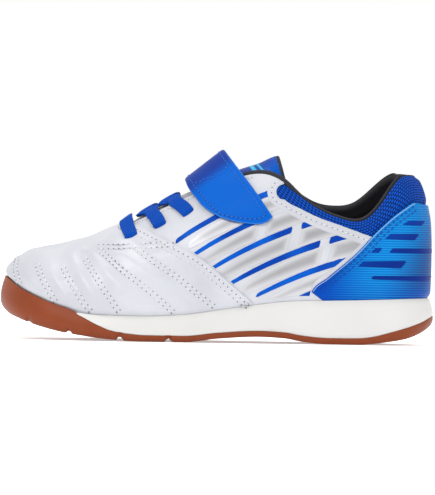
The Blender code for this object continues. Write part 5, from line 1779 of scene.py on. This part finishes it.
def slit_shape(slot, side):
    """A stitched slit in the eyestay, a little wider than the lace, drawn as a dark tube: its dark is painted
    shade in the opening.
    """
    slope = math.radians(31)
    shares = np.linspace(-1, 1, 9)
    line = slot + shares[:, None] * 0.0036 * np.array([math.cos(slope), math.sin(slope)])
    path = raised(*on_upper(line, side), QUARTER_THICKNESS + 0.00015)[0]
    return tube(path, 0.00055 * np.sqrt(np.clip(1 - shares**4, 0.08, 1)), 10)


def outline_ring(rows, columns, inset):
    """Grid places around a patch, inset by so many columns and a matching number of rows."""
    rows_in = int(inset * 0.6)
    ring = [(n, inset) for n in range(rows_in, rows - rows_in)]
    ring += [(rows - 1 - rows_in, n) for n in range(inset + 1, columns - inset)]
    ring += [(n, columns - 1 - inset) for n in range(rows - 2 - rows_in, rows_in - 1, -1)]
    ring += [(rows_in, n) for n in range(columns - 2 - inset, inset, -1)]
    return ring


def make_strap(material, edge, thread, dark):
    rows, columns = 121, 49
    grid = refined(strap_grid(), rows, columns)
    points, faces, _ = sheet_of(grid)
    # The normals come from the faces turned about, which are split along their other diagonals.
    normals = -point_normals(points, [f[::-1] for f in faces])
    half = STRAP_THICKNESS / 2
    w = 1 - np.abs(np.linspace(-1, 1, columns))
    end = np.minimum(np.arange(rows), np.arange(rows)[::-1]) / rows
    dome = smoothstep(0.0, 0.10, w) * smoothstep(0.0, 0.03, end)[:, None]
    high = half * (0.55 + 0.45 * dome)
    shape = shell(points, faces, normals, -half * 0.9, high.ravel(), 0.0004)
    add_piece("strap_satin", shape, material, ("strap",))
    path, _ = picked_path(grid, normals, outline_ring(rows, columns, 0), half * 0.15)
    add_piece("strap_edge", tube(np.vstack([path, path[:1]]), 0.00026), edge)
    around = picked_path(grid, normals, outline_ring(rows, columns, 5), half + 0.00003)
    places = [(int(rows * (0.672 - 0.035 * b / columns)), b) for b in range(6, columns - 6)]
    across = picked_path(grid, normals, places, half + 0.00003)
    sewn = [
        stitch_shapes(*row, STRAP_PITCH, STRAP_STITCH, radius)
        for row, radius in ((around, STITCH_RADIUS), (across, 0.00022))
    ]
    add_piece("strap_stitches", joined(sewn), thread)
    add_piece("strap_holes", hole_shapes(*around, STRAP_PITCH), dark)


def make_floor():
    paint = Paint("pale floor", 0.6, Emission_Color=(1.0, 1.0, 1.0), Emission_Strength=0.40)
    bpy.ops.mesh.primitive_plane_add(size=12, location=(0, 0, -0.0002))
    floor = bpy.context.object
    floor.name = "floor"
    floor.data.materials.append(paint.finish(paint.mix(paint.noise(3.0), (0.92,) * 3, (0.94,) * 3)))


# The lights: place, size and power. They aim at LIGHT_TARGET.
LIGHT_TARGET = Vector((0.0, 0.0, 0.04))
LIGHTS = {
    "key": ((-0.8, -1.2, 1.2), 0.6, 12),
    "fill": ((1.2, -1.0, 0.6), 0.9, 3),
    "top": ((0.1, 0.2, 1.6), 0.8, 10),
}


def make_lights():
    for name, (place, size, power) in LIGHTS.items():
        data = bpy.data.lights.new(name, "AREA")
        data.size = size
        data.energy = power
        obj = linked(name, data)
        obj.location = place
        obj.rotation_euler = (LIGHT_TARGET - Vector(place)).to_track_quat("-Z", "Y").to_euler()
    world = bpy.data.worlds.new("studio")
    bpy.context.scene.world = world
    world.use_nodes = True
    background = world.node_tree.nodes["Background"]
    background.inputs[0].default_value = (1.0, 1.0, 1.0, 1.0)
    background.inputs[1].default_value = 1.0
    bpy.context.scene.view_settings.view_transform = "Standard"


# The photograph's frame at the shoe, and the place of the shoe's origin below its middle.
FRAME_HEIGHT = 0.2456
VIEW_DISTANCE = 3.6
VIEW_TILT = math.radians(0.5)
VIEW_ROLL = math.radians(1.01)
VIEW_RAISE = 0.0465
VIEW_SHIFT = 0.0007
SENSOR = 24.0


def make_camera():
    data = bpy.data.cameras.new("camera")
    data.sensor_fit = "VERTICAL"
    data.sensor_height = SENSOR
    data.lens = SENSOR * VIEW_DISTANCE / FRAME_HEIGHT
    data.clip_start = 0.05
    data.clip_end = 30.0
    ahead = Vector((0.0, math.cos(VIEW_TILT), -math.sin(VIEW_TILT)))
    up = Vector((0.0, math.sin(VIEW_TILT), math.cos(VIEW_TILT)))
    across = Vector((1.0, 0.0, 0.0))
    right = across * math.cos(VIEW_ROLL) + up * math.sin(VIEW_ROLL)
    above = up * math.cos(VIEW_ROLL) - across * math.sin(VIEW_ROLL)
    place = above * VIEW_RAISE + right * VIEW_SHIFT - ahead * VIEW_DISTANCE
    turn = Matrix((right, above, -ahead)).transposed()
    camera = linked("camera", data)
    camera.matrix_world = Matrix.Translation(place) @ turn.to_4x4()
    bpy.context.scene.camera = camera


def main():
    make_camera()
    make_lights()
    make_floor()
    white = leather_paint("pearl leather", (0.455, 0.463, 0.497), (0.395, 0.402, 0.435))
    lining = lining_paint()
    binding = binding_paint("black binding", (0.010, 0.011, 0.014), (0.03, 0.03, 0.035))
    blue = satin_paint("blue satin", (0.011, 0.026, 0.19), (0.0003, 0.085, 0.42), -0.0700, -0.0640)
    panel_blue = satin_paint("tongue satin", (0.017, 0.032, 0.21), (0.0003, 0.074, 0.38), -0.0590, -0.0500)
    cyan = satin_paint("cyan print", (0.05, 0.36, 0.52), (0.02, 0.26, 0.50), -0.060, -0.045)
    heel_blue = satin_paint("heel print", (0.0006, 0.048, 0.33), (0.0004, 0.018, 0.17), -0.002, 0.022)
    white_thread = thread_paint("white thread", (0.48, 0.49, 0.52), (0.60, 0.61, 0.63))
    blue_thread = thread_paint("blue thread", (0.0005, 0.025, 0.22), (0.001, 0.05, 0.32))
    # Painted shade: the needle holes are coloured dark for the shade inside them.
    dark = binding_paint("painted needle hole shade", (0.10, 0.10, 0.12), (0.16, 0.16, 0.19))
    slit = binding_paint("slit shade", (0.012, 0.014, 0.03), (0.03, 0.035, 0.06))
    edge = thread_paint("light blue edge", (0.01, 0.13, 0.48), (0.05, 0.22, 0.58))
    pale = thread_paint("pale edge", (0.16, 0.28, 0.52), (0.36, 0.44, 0.58))
    bright = thread_paint("bright blue thread", (0.002, 0.075, 0.38), (0.02, 0.15, 0.52))
    shade = thread_paint("needle shade", (0.0003, 0.012, 0.11), (0.001, 0.022, 0.17))
    make_upper(mesh_paint(), lining, white)
    make_vamp(white)
    for side in BOTH_SIDES:
        make_quarter(side, white)
    make_counter(counter_paint(), pale)
    make_graphic("side_foil", SILVER_BARS, foil_paint())
    make_graphic("side_print", BLUE_BARS, print_paint())
    make_heel_dashes(heel_blue)
    make_sewing(white_thread, blue_thread, dark)
    make_collar_binding(binding)
    make_outsole(gum_paint())
    make_midsole(foam_paint())
    make_insole(lining)
    make_tongue(tongue_paint())
    make_tongue_panel(panel_blue, binding, blue_thread, cyan)
    make_laces(lace_paint(), slit)
    make_strap(blue, edge, bright, shade)


main()
